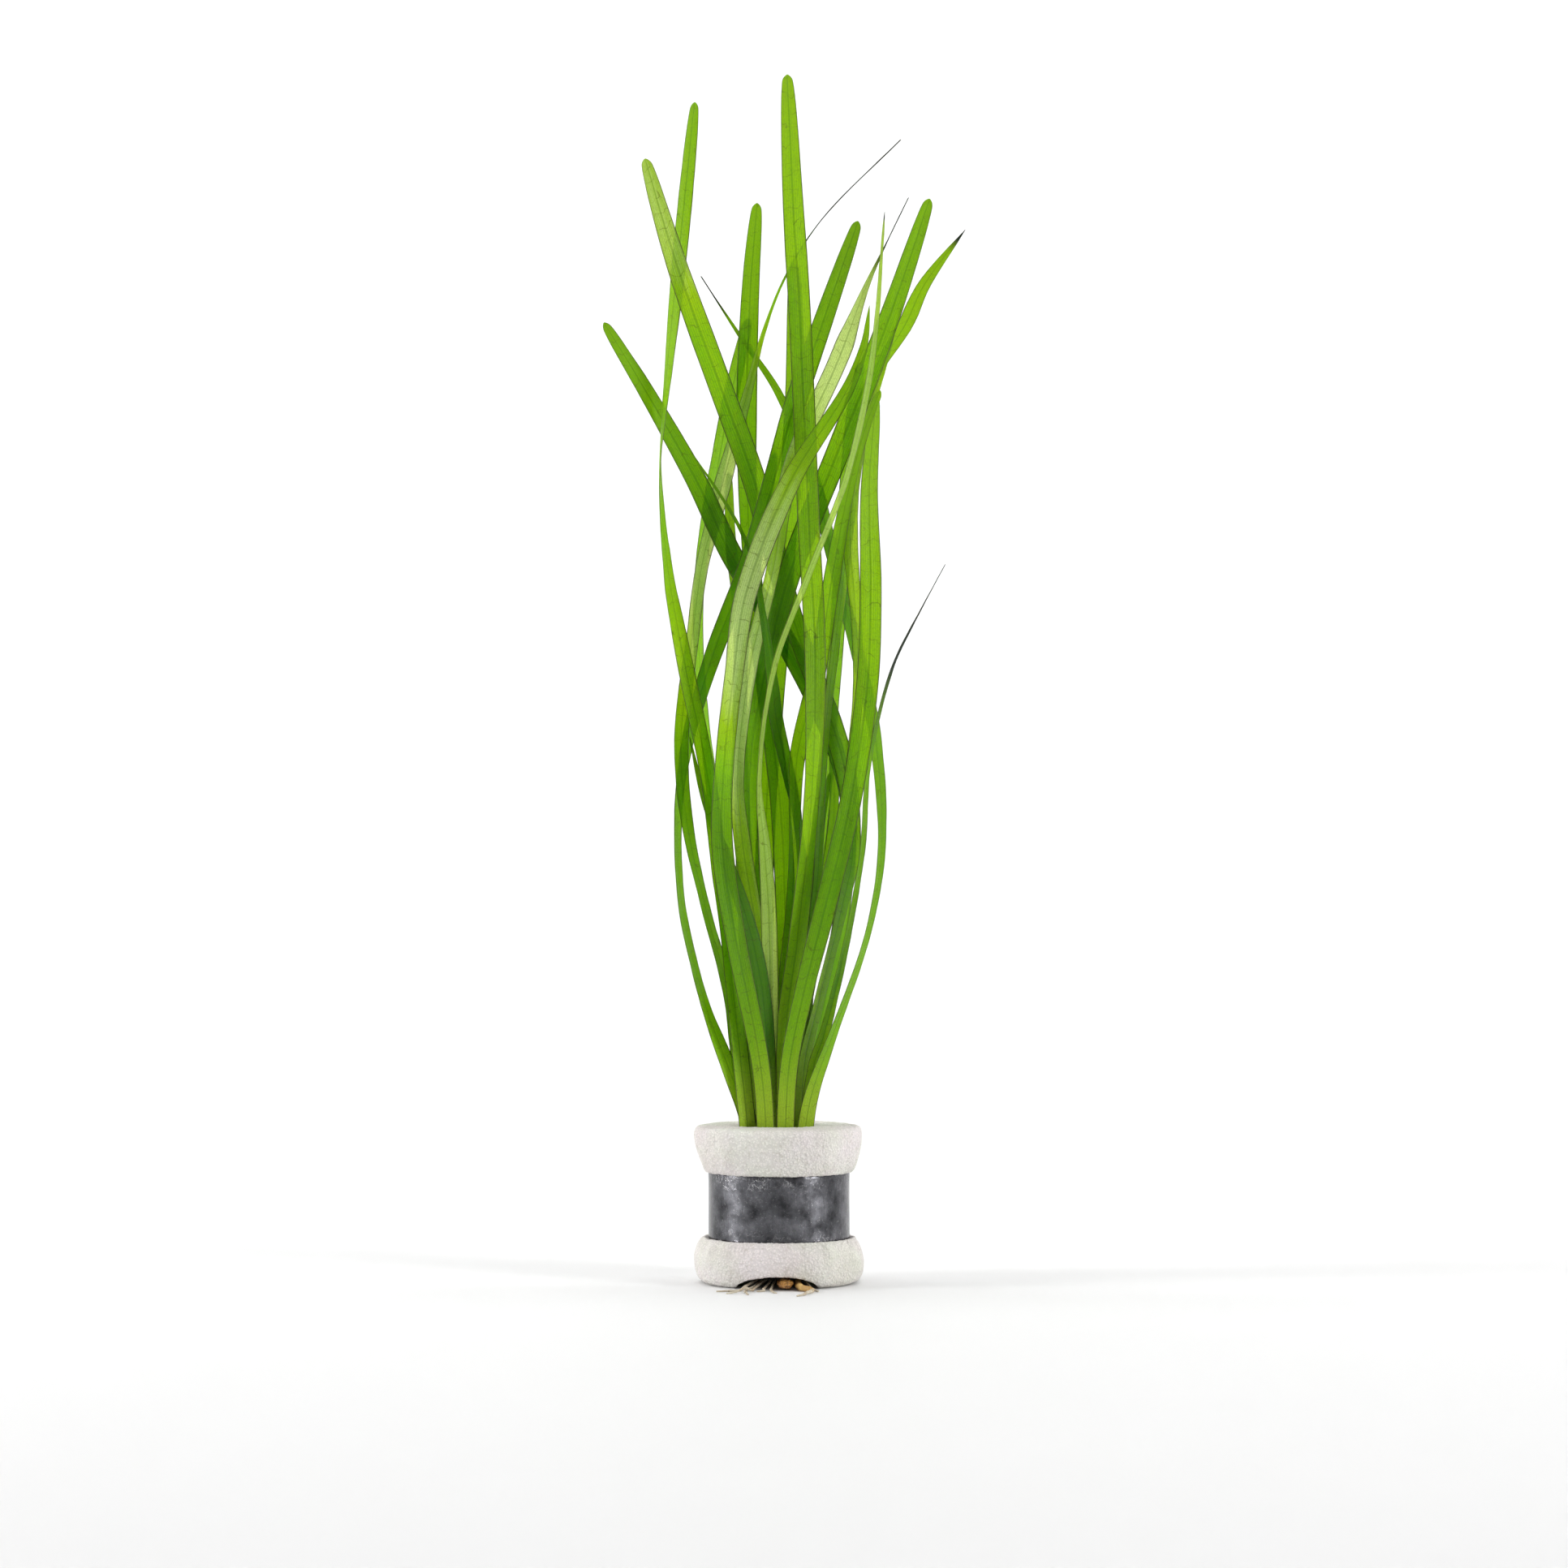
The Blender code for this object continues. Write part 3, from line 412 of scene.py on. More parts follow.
def run_tree(piece, tree, values):
    """Runs a Geometry Nodes tree on the piece and leaves its result as a plain mesh."""
    live = piece.modifiers.new(tree.name, "NODES")
    live.node_group = tree
    sockets = {s.name: s.identifier for s in tree.interface.items_tree if s.in_out == "INPUT"}
    for label, value in values.items():
        live[sockets[label]] = value
    bpy.context.view_layer.update()
    graph = bpy.context.evaluated_depsgraph_get()
    shape = bpy.data.meshes.new_from_object(piece.evaluated_get(graph))
    piece.modifiers.remove(live)
    old = piece.data
    piece.data = shape
    bpy.data.meshes.remove(old)
    shape.name = piece.name
    return piece


def new_piece(name, shape):
    piece = bpy.data.objects.new(name, shape)
    bpy.context.scene.collection.objects.link(piece)
    return piece


def settle(piece, *nodes, slot):
    """Hooks a finished piece to the frame."""
    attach(piece, BODY)
    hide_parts(*nodes)


# Shared material groups

def tone_drift():
    """Slow change between two colours over a surface."""
    tree, start, end = new_tree(
        "tone_drift", "ShaderNodeTree",
        [("Vector", "NodeSocketVector", None), ("Scale", "NodeSocketFloat", 100.0),
         ("First", "NodeSocketColor", (1, 1, 1, 1)), ("Second", "NodeSocketColor", (0, 0, 0, 1)),
         ("Contrast", "NodeSocketFloat", 1.0)],
        [("Color", "NodeSocketColor"), ("Share", "NodeSocketFloat")])
    cloud = noise_at(tree, start["Vector"], start["Scale"], 4.0, 0.6)
    share = maths(tree, "MULTIPLY_ADD", maths(tree, "SUBTRACT", cloud, 0.5),
                  maths(tree, "MULTIPLY", start["Contrast"], 2.5), 0.5, clamp=True)
    tree.links.new(mixed(tree, share, start["First"], start["Second"]), end["Color"])
    tree.links.new(share, end["Share"])
    return tree


def cell_grain():
    """Small rounded cells with fine noise: a height and a mask of the gaps between the cells."""
    tree, start, end = new_tree(
        "cell_grain", "ShaderNodeTree",
        [("Vector", "NodeSocketVector", None), ("Cell Size", "NodeSocketFloat", 0.0005),
         ("Roughness", "NodeSocketFloat", 0.5)],
        [("Height", "NodeSocketFloat"), ("Gap", "NodeSocketFloat")])
    scale = maths(tree, "DIVIDE", 1.0, start["Cell Size"])
    cells = node(tree, "ShaderNodeTexVoronoi", {"Vector": start["Vector"], "Scale": scale}, feature="F1")
    fine = noise_at(tree, start["Vector"], maths(tree, "MULTIPLY", scale, 2.3), 3.0, 0.6)
    dome = maths(tree, "SUBTRACT", 1.0, cells.outputs["Distance"], clamp=True)
    height = maths(tree, "MULTIPLY_ADD", fine, start["Roughness"], dome)
    tree.links.new(height, end["Height"])
    tree.links.new(stretch(tree, cells.outputs["Distance"], 0.45, 0.75, smooth=True), end["Gap"])
    return tree


def vein_lines():
    """Long parallel veins and short cross veins, from places across (-1 to 1) and along (metres)."""
    tree, start, end = new_tree(
        "vein_lines", "ShaderNodeTree",
        [("Across", "NodeSocketFloat", 0.0), ("Along", "NodeSocketFloat", 0.0),
         ("Lines", "NodeSocketFloat", 9.0), ("Cross Pitch", "NodeSocketFloat", 0.003),
         ("Variant", "NodeSocketFloat", 0.0)],
        [("Line", "NodeSocketFloat"), ("Cross", "NodeSocketFloat"), ("Midrib", "NodeSocketFloat")])
    sway = noise_at(tree, combined(tree, start["Along"], start["Variant"]), 60.0, 1.0, dimensions="2D")
    shifted = maths(tree, "MULTIPLY_ADD", maths(tree, "SUBTRACT", sway, 0.5), 0.12, start["Across"])
    strip = maths(tree, "MULTIPLY", maths(tree, "MULTIPLY", shifted, 0.5), start["Lines"])
    strip = maths(tree, "ADD", strip, 50.5)
    inside = maths(tree, "FRACT", strip)
    edge = maths(tree, "ABSOLUTE", maths(tree, "SUBTRACT", inside, 0.5))
    tree.links.new(stretch(tree, edge, 0.34, 0.48, smooth=True), end["Line"])
    index = maths(tree, "FLOOR", maths(tree, "MULTIPLY", strip, 0.34))
    rung = maths(tree, "DIVIDE", start["Along"], start["Cross Pitch"])
    wander = noise_at(tree, combined(tree, maths(tree, "MULTIPLY", rung, 0.7),
                                     maths(tree, "MULTIPLY", shifted, 0.45), start["Variant"]), 1.0, 2.0)
    rung = maths(tree, "MULTIPLY_ADD", wander, 2.4, rung)
    beat = maths(tree, "ABSOLUTE", maths(tree, "SUBTRACT", maths(tree, "FRACT", rung), 0.5))
    kept = node(tree, "ShaderNodeTexWhiteNoise", noise_dimensions="3D", inputs={
        "Vector": combined(tree, maths(tree, "FLOOR", rung), index, start["Variant"])}).outputs["Value"]
    cross = maths(tree, "MULTIPLY", stretch(tree, beat, 0.455, 0.49, smooth=True),
                  stretch(tree, kept, 0.45, 0.6))
    tree.links.new(cross, end["Cross"])
    middle = maths(tree, "ABSOLUTE", shifted)
    tree.links.new(stretch(tree, middle, 0.1, 0.03, smooth=True), end["Midrib"])
    return tree


def new_material(name, roughness=0.5):
    """A material with its tree and Principled shader."""
    found = bpy.data.materials.new(name)
    found.use_nodes = True
    shader = found.node_tree.nodes["Principled BSDF"]
    shader.inputs["Roughness"].default_value = roughness
    return found, found.node_tree, shader


def object_place(tree):
    return node(tree, "ShaderNodeTexCoord").outputs["Object"]


def read(tree, name):
    """A value stored on the piece's points."""
    return node(tree, "ShaderNodeAttribute", attribute_name=name).outputs["Fac"]


def bumped(tree, shader, height, distance, strength=1.0):
    made = node(tree, "ShaderNodeBump", {"Height": height, "Distance": distance, "Strength": strength})
    feed(tree, shader.inputs["Normal"], made.outputs[0])
    return made.outputs[0]


def leaf_material(settings, groups):
    found, tree, shader = new_material("leaf_skin", 0.3)
    shader.inputs["Specular IOR Level"].default_value = 0.28
    across, along = read(tree, "across"), read(tree, "along")
    pale, to_tip, variant = read(tree, "paleness"), read(tree, "to_tip"), read(tree, "variant")
    place = combined(tree, maths(tree, "MULTIPLY", across, 2.2 * MM), along, variant)
    veins = placed_group(tree, groups["vein_lines"], {
        "Across": across, "Along": along, "Lines": settings.veins, "Cross Pitch": 3.6 * MM,
        "Variant": variant})
    grain = placed_group(tree, groups["cell_grain"], {
        "Vector": vector(tree, "MULTIPLY", place, (1.0, 0.6, 1.0)), "Cell Size": 0.26 * MM,
        "Roughness": 0.7})
    # light and dark stripes that run a few centimetres along the blade: uneven tone, partly painted sheen
    where = combined(
        tree, maths(tree, "MULTIPLY", across, 1.6), maths(tree, "MULTIPLY", along, 24.0), variant)
    tone_and_sheen_stripes = maths(tree, "SUBTRACT", noise_at(tree, where, 1.0, 3.0, 0.65), 0.5)
    pale = maths(tree, "MULTIPLY_ADD", tone_and_sheen_stripes, 0.9, pale)
    light = mixed(tree, stretch(tree, pale, 0.0, 0.7), settings.green, settings.yellow_green)
    light = mixed(tree, stretch(tree, pale, 0.6, 1.3), light, settings.pale_green)
    base = mixed(tree, stretch(tree, pale, 0.0, -1.0), light, settings.dark_green)
    # paler towards the foot, yellower towards a broad tip, grey green in a thread
    foot = stretch(tree, along, 30 * MM, 8 * MM, smooth=True)
    base = mixed(tree, maths(tree, "MULTIPLY", foot, 0.85), base, (0.5, 0.7, 0.035))
    base = mixed(tree, stretch(tree, to_tip, 45 * MM, 0.0, 0.0, 0.45), base, (0.3, 0.5, 0.006))
    dried = read(tree, "dried")
    base = mixed(tree, dried, base, (0.022, 0.026, 0.02))
    # lighter on the grain's domes and darker between them: grain, partly painted glossy speckle
    grain_and_glint_speck = stretch(tree, grain["Height"], 0.55, 1.4, 0.84, 1.16)
    base = mixed(tree, 1.0, base, combined(tree, grain_and_glint_speck, grain_and_glint_speck, grain_and_glint_speck), "MULTIPLY")
    dark = maths(tree, "MULTIPLY", veins["Line"], 0.4)
    dark = maths(tree, "MAXIMUM", dark, maths(tree, "MULTIPLY", veins["Midrib"], 0.4))
    base = mixed(tree, dark, base, (0.03, 0.13, 0.001))
    base = mixed(tree, maths(tree, "MULTIPLY", veins["Cross"], 0.5), base, (0.1, 0.11, 0.008))
    # a dark line painted along each edge: painted shade for the light bent through the blade's edge
    rim = stretch(tree, maths(tree, "ABSOLUTE", across), 0.87, 0.95, 0.0, 0.85, True)
    base = mixed(tree, rim, base, (0.05, 0.05, 0.012))
    feed(tree, shader.inputs["Base Color"], base)
    relief = maths(tree, "MULTIPLY_ADD", veins["Line"], -0.8, grain["Height"])
    relief = maths(tree, "MULTIPLY_ADD", veins["Midrib"], -1.2, relief)
    relief = maths(tree, "MULTIPLY_ADD", tone_and_sheen_stripes, 6.0, relief)
    normal = bumped(tree, shader, relief, 0.06 * MM, 0.8)
    feed(tree, shader.inputs["Roughness"], stretch(tree, grain["Height"], 0.5, 1.4, 0.42, 0.18))
    # light from behind comes through each wall tinted by its own colour, so crossings are darker
    glow = node(tree, "ShaderNodeBsdfTranslucent", {"Normal": normal, "Color": base})
    through = node(tree, "ShaderNodeGamma", {"Color": base, "Gamma": 0.5}).outputs[0]
    clear = node(tree, "ShaderNodeBsdfTransparent", {"Color": mixed(
        tree, 1.0, through, (1.14, 1.14, 0.85), "MULTIPLY")})
    lit = node(tree, "ShaderNodeMixShader", {0: 0.3, 1: shader.outputs[0], 2: glow.outputs[0]})
    thin = stretch(tree, maths(tree, "MAXIMUM", rim, dried), 0.0, 0.85, 0.46, 0.06)
    thin = maths(tree, "MULTIPLY", thin, stretch(tree, along, 60 * MM, 10 * MM, 1.0, 0.3))
    body = node(tree, "ShaderNodeMixShader", {0: thin, 1: lit.outputs[0], 2: clear.outputs[0]})
    feed(tree, tree.nodes["Material Output"].inputs["Surface"], body.outputs[0])
    return found


def foam_material(settings, groups):
    found, tree, shader = new_material("foam_sponge", 0.95)
    place = object_place(tree)
    cells = placed_group(tree, groups["cell_grain"], {
        "Vector": place, "Cell Size": settings.pore, "Roughness": 0.5})
    fine = placed_group(tree, groups["cell_grain"], {
        "Vector": place, "Cell Size": 0.5 * settings.pore, "Roughness": 0.6})
    drift = placed_group(tree, groups["tone_drift"], {
        "Vector": place, "Scale": 95.0, "First": (*settings.foam, 1), "Second": (0.71, 0.69, 0.65, 1),
        "Contrast": 0.9})
    tint = placed_group(tree, groups["tone_drift"], {
        "Vector": vector(tree, "ADD", place, (0.3, 0.1, 0.2)), "Scale": 60.0,
        "First": (1.0, 0.95, 0.965, 1), "Second": (0.98, 1.0, 0.93, 1), "Contrast": 1.8})
    base = mixed(tree, 1.0, drift["Color"], tint["Color"], "MULTIPLY")
    # each cell's dome painted lighter and its edge darker: painted highlight and shade on the foam's beads
    painted_bead_light = stretch(tree, cells["Height"], 0.7, 1.25, 0.86, 1.12)
    base = mixed(tree, 1.0, base, combined(tree, painted_bead_light, painted_bead_light, painted_bead_light), "MULTIPLY")
    # some gaps between the cells painted dark brown: painted shade in the foam's open pits
    pit_shade_specks = stretch(tree, noise_at(tree, place, 900.0, 2.0), 0.55, 0.7, 0.0, 0.3)
    base = mixed(tree, maths(tree, "MULTIPLY", cells["Gap"], pit_shade_specks), base, (0.42, 0.36, 0.27))
    feed(tree, shader.inputs["Base Color"], base)
    relief = maths(tree, "MULTIPLY_ADD", fine["Height"], 0.45, cells["Height"])
    bumped(tree, shader, relief, 0.22 * MM, 0.8)
    return found


def lead_material(settings, groups):
    found, tree, shader = new_material("dull_lead", 0.4)
    place = object_place(tree)
    split = node(tree, "ShaderNodeSeparateXYZ", {0: place}).outputs
    height = split["Z"]
    shader.inputs["Metallic"].default_value = 1.0
    drift = placed_group(tree, groups["tone_drift"], {
        "Vector": place, "Scale": 240.0, "First": tuple(0.6 * c for c in settings.lead) + (1,),
        "Second": tuple(2.6 * c for c in settings.lead) + (1,), "Contrast": 1.1})
    brushed = noise_at(tree, vector(tree, "MULTIPLY", place, (1.0, 1.0, 0.05)), 2600.0, 2.0)
    scuffs = noise_at(tree, place, 1500.0, 6.0, 0.75)
    # crinkled, brighter metal along both edges, most on the side the strip was pulled tight from
    near_edge = maths(tree, "MAXIMUM", stretch(tree, height, BAND_BOTTOM + 3.4 * MM, BAND_BOTTOM + 0.8 * MM),
                      stretch(tree, height, BAND_TOP - 3.6 * MM, BAND_TOP - 1.4 * MM))
    near_edge = maths(tree, "MULTIPLY", near_edge, stretch(tree, split["X"], 6 * MM, -8 * MM, 0.35, 1.0))
    worn = stretch(tree, noise_at(tree, place, 230.0, 3.0, 0.6), 0.5, 0.64)
    worn = maths(tree, "MULTIPLY", near_edge, worn)
    ridges = maths(tree, "ABSOLUTE", maths(tree, "SUBTRACT", noise_at(tree, place, 620.0, 3.0, 0.6), 0.5))
    ridges = maths(tree, "MULTIPLY", worn, stretch(tree, ridges, 0.035, 0.0))
    scratch = stretch(tree, scuffs, 0.56, 0.66, 0.0, 1.0, True)
    bright = maths(tree, "MULTIPLY", scratch, maths(tree, "MULTIPLY_ADD", worn, 0.8, 0.2))
    bright = maths(tree, "MAXIMUM", bright, ridges)
    base = mixed(tree, bright, drift["Color"], (0.6, 0.59, 0.6))
    feed(tree, shader.inputs["Base Color"], base)
    rough = maths(tree, "MULTIPLY_ADD", drift["Share"], 0.1, 0.14)
    rough = maths(tree, "MULTIPLY_ADD", brushed, 0.12, rough)
    feed(tree, shader.inputs["Roughness"], rough)
    relief = maths(tree, "MULTIPLY_ADD", scuffs, 0.05, maths(tree, "MULTIPLY", brushed, 0.12))
    relief = maths(tree, "MULTIPLY_ADD", ridges, 2.5, relief)
    relief = maths(tree, "MULTIPLY_ADD", worn, maths(tree, "MULTIPLY", scuffs, 2.5), relief)
    bumped(tree, shader, relief, 0.06 * MM, 0.8)
    return found


def root_material(settings, groups):
    found, tree, shader = new_material("root_skin", 0.55)
    place, along, pale = object_place(tree), read(tree, "along"), read(tree, "paleness")
    drift = placed_group(tree, groups["tone_drift"], {
        "Vector": place, "Scale": 420.0, "First": (*(0.8 * c for c in settings.tan), 1),
        "Second": (0.62, 0.58, 0.47, 1), "Contrast": 1.2})
    gold = mixed(tree, drift["Share"], (0.4, 0.21, 0.045), (0.62, 0.42, 0.14))
    base = mixed(tree, pale, gold, drift["Color"])
    streaks = noise_at(tree, combined(tree, read(tree, "across"), maths(tree, "MULTIPLY", along, 400.0)),
                       3.0, 3.0, dimensions="2D")
    base = mixed(tree, stretch(tree, streaks, 0.45, 0.7, 0.0, 0.45), base, (0.24, 0.16, 0.08))
    feed(tree, shader.inputs["Base Color"], base)
    grain = placed_group(tree, groups["cell_grain"], {"Vector": place, "Cell Size": 0.16 * MM})
    bumped(tree, shader, grain["Height"], 0.04 * MM, 0.6)
    return found


def bark_material(name, colours, groups, cell, gloss=0.5):
    """Plant tissue for the rootstock and the rhizome's end: blotches of three colours."""
    found, tree, shader = new_material(name, gloss)
    place = object_place(tree)
    drift = placed_group(tree, groups["tone_drift"], {
        "Vector": place, "Scale": 330.0, "First": (*colours[0], 1), "Second": (*colours[1], 1),
        "Contrast": 1.5})
    grain = placed_group(tree, groups["cell_grain"], {
        "Vector": place, "Cell Size": cell, "Roughness": 0.8})
    base = mixed(tree, maths(tree, "MULTIPLY", grain["Gap"], 0.6), drift["Color"], colours[2])
    feed(tree, shader.inputs["Base Color"], base)
    bumped(tree, shader, grain["Height"], 0.12 * MM, 0.8)
    return found


# Leaves

def between(knots, values, at):
    """A smooth curve through the values, read at one place: cubic pieces with averaged slopes."""
    last = len(knots) - 1
    slopes = []
    for i in range(last + 1):
        low, high = max(i - 1, 0), min(i + 1, last)
        slopes.append((values[high] - values[low]) / (knots[high] - knots[low]))
    i = 0
    while i < last - 1 and at > knots[i + 1]:
        i += 1
    span = knots[i + 1] - knots[i]
    t = (at - knots[i]) / span
    rise = t * t * (3 - 2 * t)
    return (
        values[i] * (1 - rise)
        + values[i + 1] * rise
        + span * t * (1 - t) * (slopes[i] * (1 - t) - slopes[i + 1] * t)
    )


def leaf_width(full, tip, height, below_tip):
    """Width of a leaf: narrowed in the sleeve, full in its length, and rounded or drawn out at its tip."""
    t = min(max((height - NARROW_BELOW) / (FULL_ABOVE - NARROW_BELOW), 0.0), 1.0)
    foot = min(BASE_WIDTH, full)
    width = foot + (full - foot) * t * t * (3 - 2 * t)
    reach, power = TIP_SHAPES[tip]
    width = max(THREAD_WIDTH, width * min(1.0, (below_tip / reach) ** power))
    round_off = ROUND_TIP[tip]
    if below_tip < round_off:
        width *= math.sqrt(1 - (1 - below_tip / round_off) ** 2)
    return width


def leaf_heights(low, high):
    """Heights of the stations: even along the blade, closer together in the last of its tip."""
    near = high - 3 * MM
    body = [low + (near - low) * i / STATIONS for i in range(STATIONS)]
    tip = [high - 3 * MM * (1 - i / TIP_STATIONS) ** 1.8 for i in range(TIP_STATIONS)]
    return body + tip + [high - TIP_END]


def leaf_spine(name, variant):
    """The blade's middle line as a mesh of points that carry what the blade tree and the material read."""
    full, tip, paleness, points = LEAVES[name]
    knots = [p[0] * MM for p in points]
    lines = [[p[i] * MM for p in points] for i in (1, 2)]
    turns = [math.radians(p[3]) for p in points]
    low, high = knots[0], knots[-1]
    spots, facts = [], {"side": [], "front": [], "half_width": [], "along": [], "to_tip": []}
    for height in leaf_heights(low, high):
        ends = [max(low, height - 0.5 * MM), min(high, height + 0.5 * MM)]
        a, b = (Vector((between(knots, lines[0], h), between(knots, lines[1], h), h)) for h in ends)
        along = (b - a).normalized()
        across = Vector((0, 1, 0)).cross(along).normalized()
        face = along.cross(across)
        turn = between(knots, turns, height)
        spots.append(Vector((between(knots, lines[0], height), between(knots, lines[1], height), height)))
        facts["side"].append(across * math.cos(turn) + face * math.sin(turn))
        facts["front"].append(face * math.cos(turn) - across * math.sin(turn))
        facts["half_width"].append(leaf_width(full * MM, tip, height, high - height) / 2)
    spots.insert(0, spots[0] - Vector((0, 0, FOOT_SINK)))
    for label in ("side", "front", "half_width"):
        facts[label].insert(0, facts[label][0])
    far = 0.0
    for i, spot in enumerate(spots):
        far += (spot - spots[i - 1]).length if i else 0.0
        facts["along"].append(far)
    facts["to_tip"] = [far - here for here in facts["along"]]
    # the blade's own paleness plus its stretches, whose paler ones are painted sheen
    facts["paleness"] = [paleness + sum(
        strength * max(0.0, 1 - ((spot.z / MM - middle) / reach) ** 2)
        for middle, reach, strength in SHEEN_AND_TONE_STRETCHES.get(name, [])) for spot in spots]
    dry = DRY_TIPS.get(name, 0) * MM
    facts["dried"] = [min(max((1.25 * dry - left) / (0.5 * dry), 0.0), 1.0) if dry else 0.0
                      for left in facts["to_tip"]]
    facts["variant"] = [float(variant)] * len(spots)
    return line_mesh(name, spots, facts)


def line_mesh(name, spots, facts):
    """A chain of points with named values on them."""
    shape = bpy.data.meshes.new(name)
    shape.from_pydata([tuple(s) for s in spots], [(i, i + 1) for i in range(len(spots) - 1)], [])
    for label, values in facts.items():
        if isinstance(values[0], Vector):
            made = shape.attributes.new(label, "FLOAT_VECTOR", "POINT")
            made.data.foreach_set("vector", [c for v in values for c in v])
        else:
            made = shape.attributes.new(label, "FLOAT", "POINT")
            made.data.foreach_set("value", values)
    return shape


def stored(tree, name, kind="FLOAT"):
    return node(tree, "GeometryNodeInputNamedAttribute", {"Name": name}, data_type=kind).outputs[0]


def swept_start(tree, start):
    """A chain of points turned into a curve whose sections stand on the stored side vectors."""
    line = node(tree, "GeometryNodeMeshToCurve", {"Mesh": start["Geometry"]})
    framed = node(tree, "GeometryNodeSetCurveNormal", mode="FREE", inputs={
        "Curve": line.outputs[0], "Normal": stored(tree, "side", "FLOAT_VECTOR")})
    return framed.outputs[0]


def finished(tree, geometry, start, end):
    """Smooth shading, real instances and the material, which is how each tree ends."""
    smooth = node(tree, "GeometryNodeSetShadeSmooth", {"Geometry": geometry})
    real = node(tree, "GeometryNodeRealizeInstances", {"Geometry": smooth.outputs[0]})
    coated = node(tree, "GeometryNodeSetMaterial", {
        "Geometry": real.outputs[0], "Material": start["Material"]})
    tree.links.new(coated.outputs[0], end["Geometry"])


def blade_tree():
    """Sweeps a channelled lens section along a leaf's middle line and waves its edges."""
    tree, start, end = new_tree(
        "leaf_blade", "GeometryNodeTree",
        [("Geometry", "NodeSocketGeometry", None), ("Half Thickness", "NodeSocketFloat", 0.08),
         ("Channel", "NodeSocketFloat", 0.12), ("Ripple Height", "NodeSocketFloat", 0.00015),
         ("Ripple Length", "NodeSocketFloat", 0.009), ("Edge Points", "NodeSocketInt", 24),
         ("Seed", "NodeSocketFloat", 0.0), ("Material", "NodeSocketMaterial", None)],
        [("Geometry", "NodeSocketGeometry")])
    ring = node(tree, "GeometryNodeCurvePrimitiveCircle", {
        "Resolution": start["Edge Points"], "Radius": 1.0})
    place = node(tree, "GeometryNodeInputPosition").outputs[0]
    split = node(tree, "ShaderNodeSeparateXYZ", {0: place}).outputs
    marked = node(tree, "GeometryNodeStoreNamedAttribute", {
        "Geometry": ring.outputs[0], "Name": "across", "Value": split[0]}, data_type="FLOAT")
    bow = maths(tree, "SUBTRACT", 1.0, maths(tree, "MULTIPLY", split[0], split[0]))
    lift = maths(tree, "MULTIPLY_ADD", bow, start["Channel"],
                 maths(tree, "MULTIPLY", split[1], start["Half Thickness"]))
    lens = node(tree, "GeometryNodeSetPosition", {
        "Geometry": marked.outputs[0], "Position": combined(tree, split[0], lift, 0.0)})
    swept = node(tree, "GeometryNodeCurveToMesh", {
        "Curve": swept_start(tree, start), "Profile Curve": lens.outputs[0],
        "Scale": stored(tree, "half_width"), "Fill Caps": True})
    across = stored(tree, "across")
    edge = maths(tree, "MULTIPLY", across, maths(tree, "ABSOLUTE", across))
    where = combined(tree, maths(tree, "DIVIDE", stored(tree, "along"), start["Ripple Length"]),
                     maths(tree, "MULTIPLY_ADD", edge, 1.4, start["Seed"]))
    wave = maths(tree, "SUBTRACT", noise_at(tree, where, 1.0, 2.0, dimensions="2D"), 0.5)
    calm = stretch(tree, stored(tree, "along"), 6 * MM, 30 * MM)
    wave = maths(tree, "MULTIPLY", maths(tree, "MULTIPLY", wave, 2.4), calm)
    wave = maths(tree, "MULTIPLY", wave, maths(tree, "MULTIPLY", start["Ripple Height"],
                                               maths(tree, "ABSOLUTE", edge)))
    offset = node(tree, "ShaderNodeVectorMath", operation="SCALE")
    feed(tree, offset.inputs[0], stored(tree, "front", "FLOAT_VECTOR"))
    feed(tree, offset.inputs["Scale"], wave)
    waved = node(tree, "GeometryNodeSetPosition", {
        "Geometry": swept.outputs[0], "Offset": offset.outputs[0]})
    finished(tree, waved.outputs[0], start, end)
    return tree


class VALLISNERIA_OT_leaves(bpy.types.Operator):
    """Sweeps every leaf's blade along its middle line"""
    bl_idname = "vallisneria.leaves"
    bl_label = "Leaves"

    def execute(self, context):
        settings = context.scene.vallisneria_leaf
        skin = leaf_material(settings, material_groups())
        tree = blade_tree()
        widest = 2.5 * MM
        for number, name in enumerate(LEAVES):
            piece = new_piece(name.replace("leaf", "blade"), leaf_spine(name, number))
            run_tree(piece, tree, {
                "Half Thickness": settings.thickness / 2 / widest, "Channel": settings.channel / widest,
                "Ripple Height": settings.ripple, "Seed": 3.7 * number, "Material": skin})
            settle(piece, name, slot="leaf")
        return {"FINISHED"}


# Foam sleeve

def hole_edge(angle):
    """The hole's rounded oblong outline, by the direction from its centre."""
    c, s = math.cos(angle), math.sin(angle)
    reach = (abs(c / HOLE_HALF_WIDTH) ** HOLE_SQUARENESS + abs(s / HOLE_HALF_DEPTH) ** HOLE_SQUARENESS)
    reach **= -1 / HOLE_SQUARENESS
    return HOLE_CENTRE_X + c * reach, s * reach


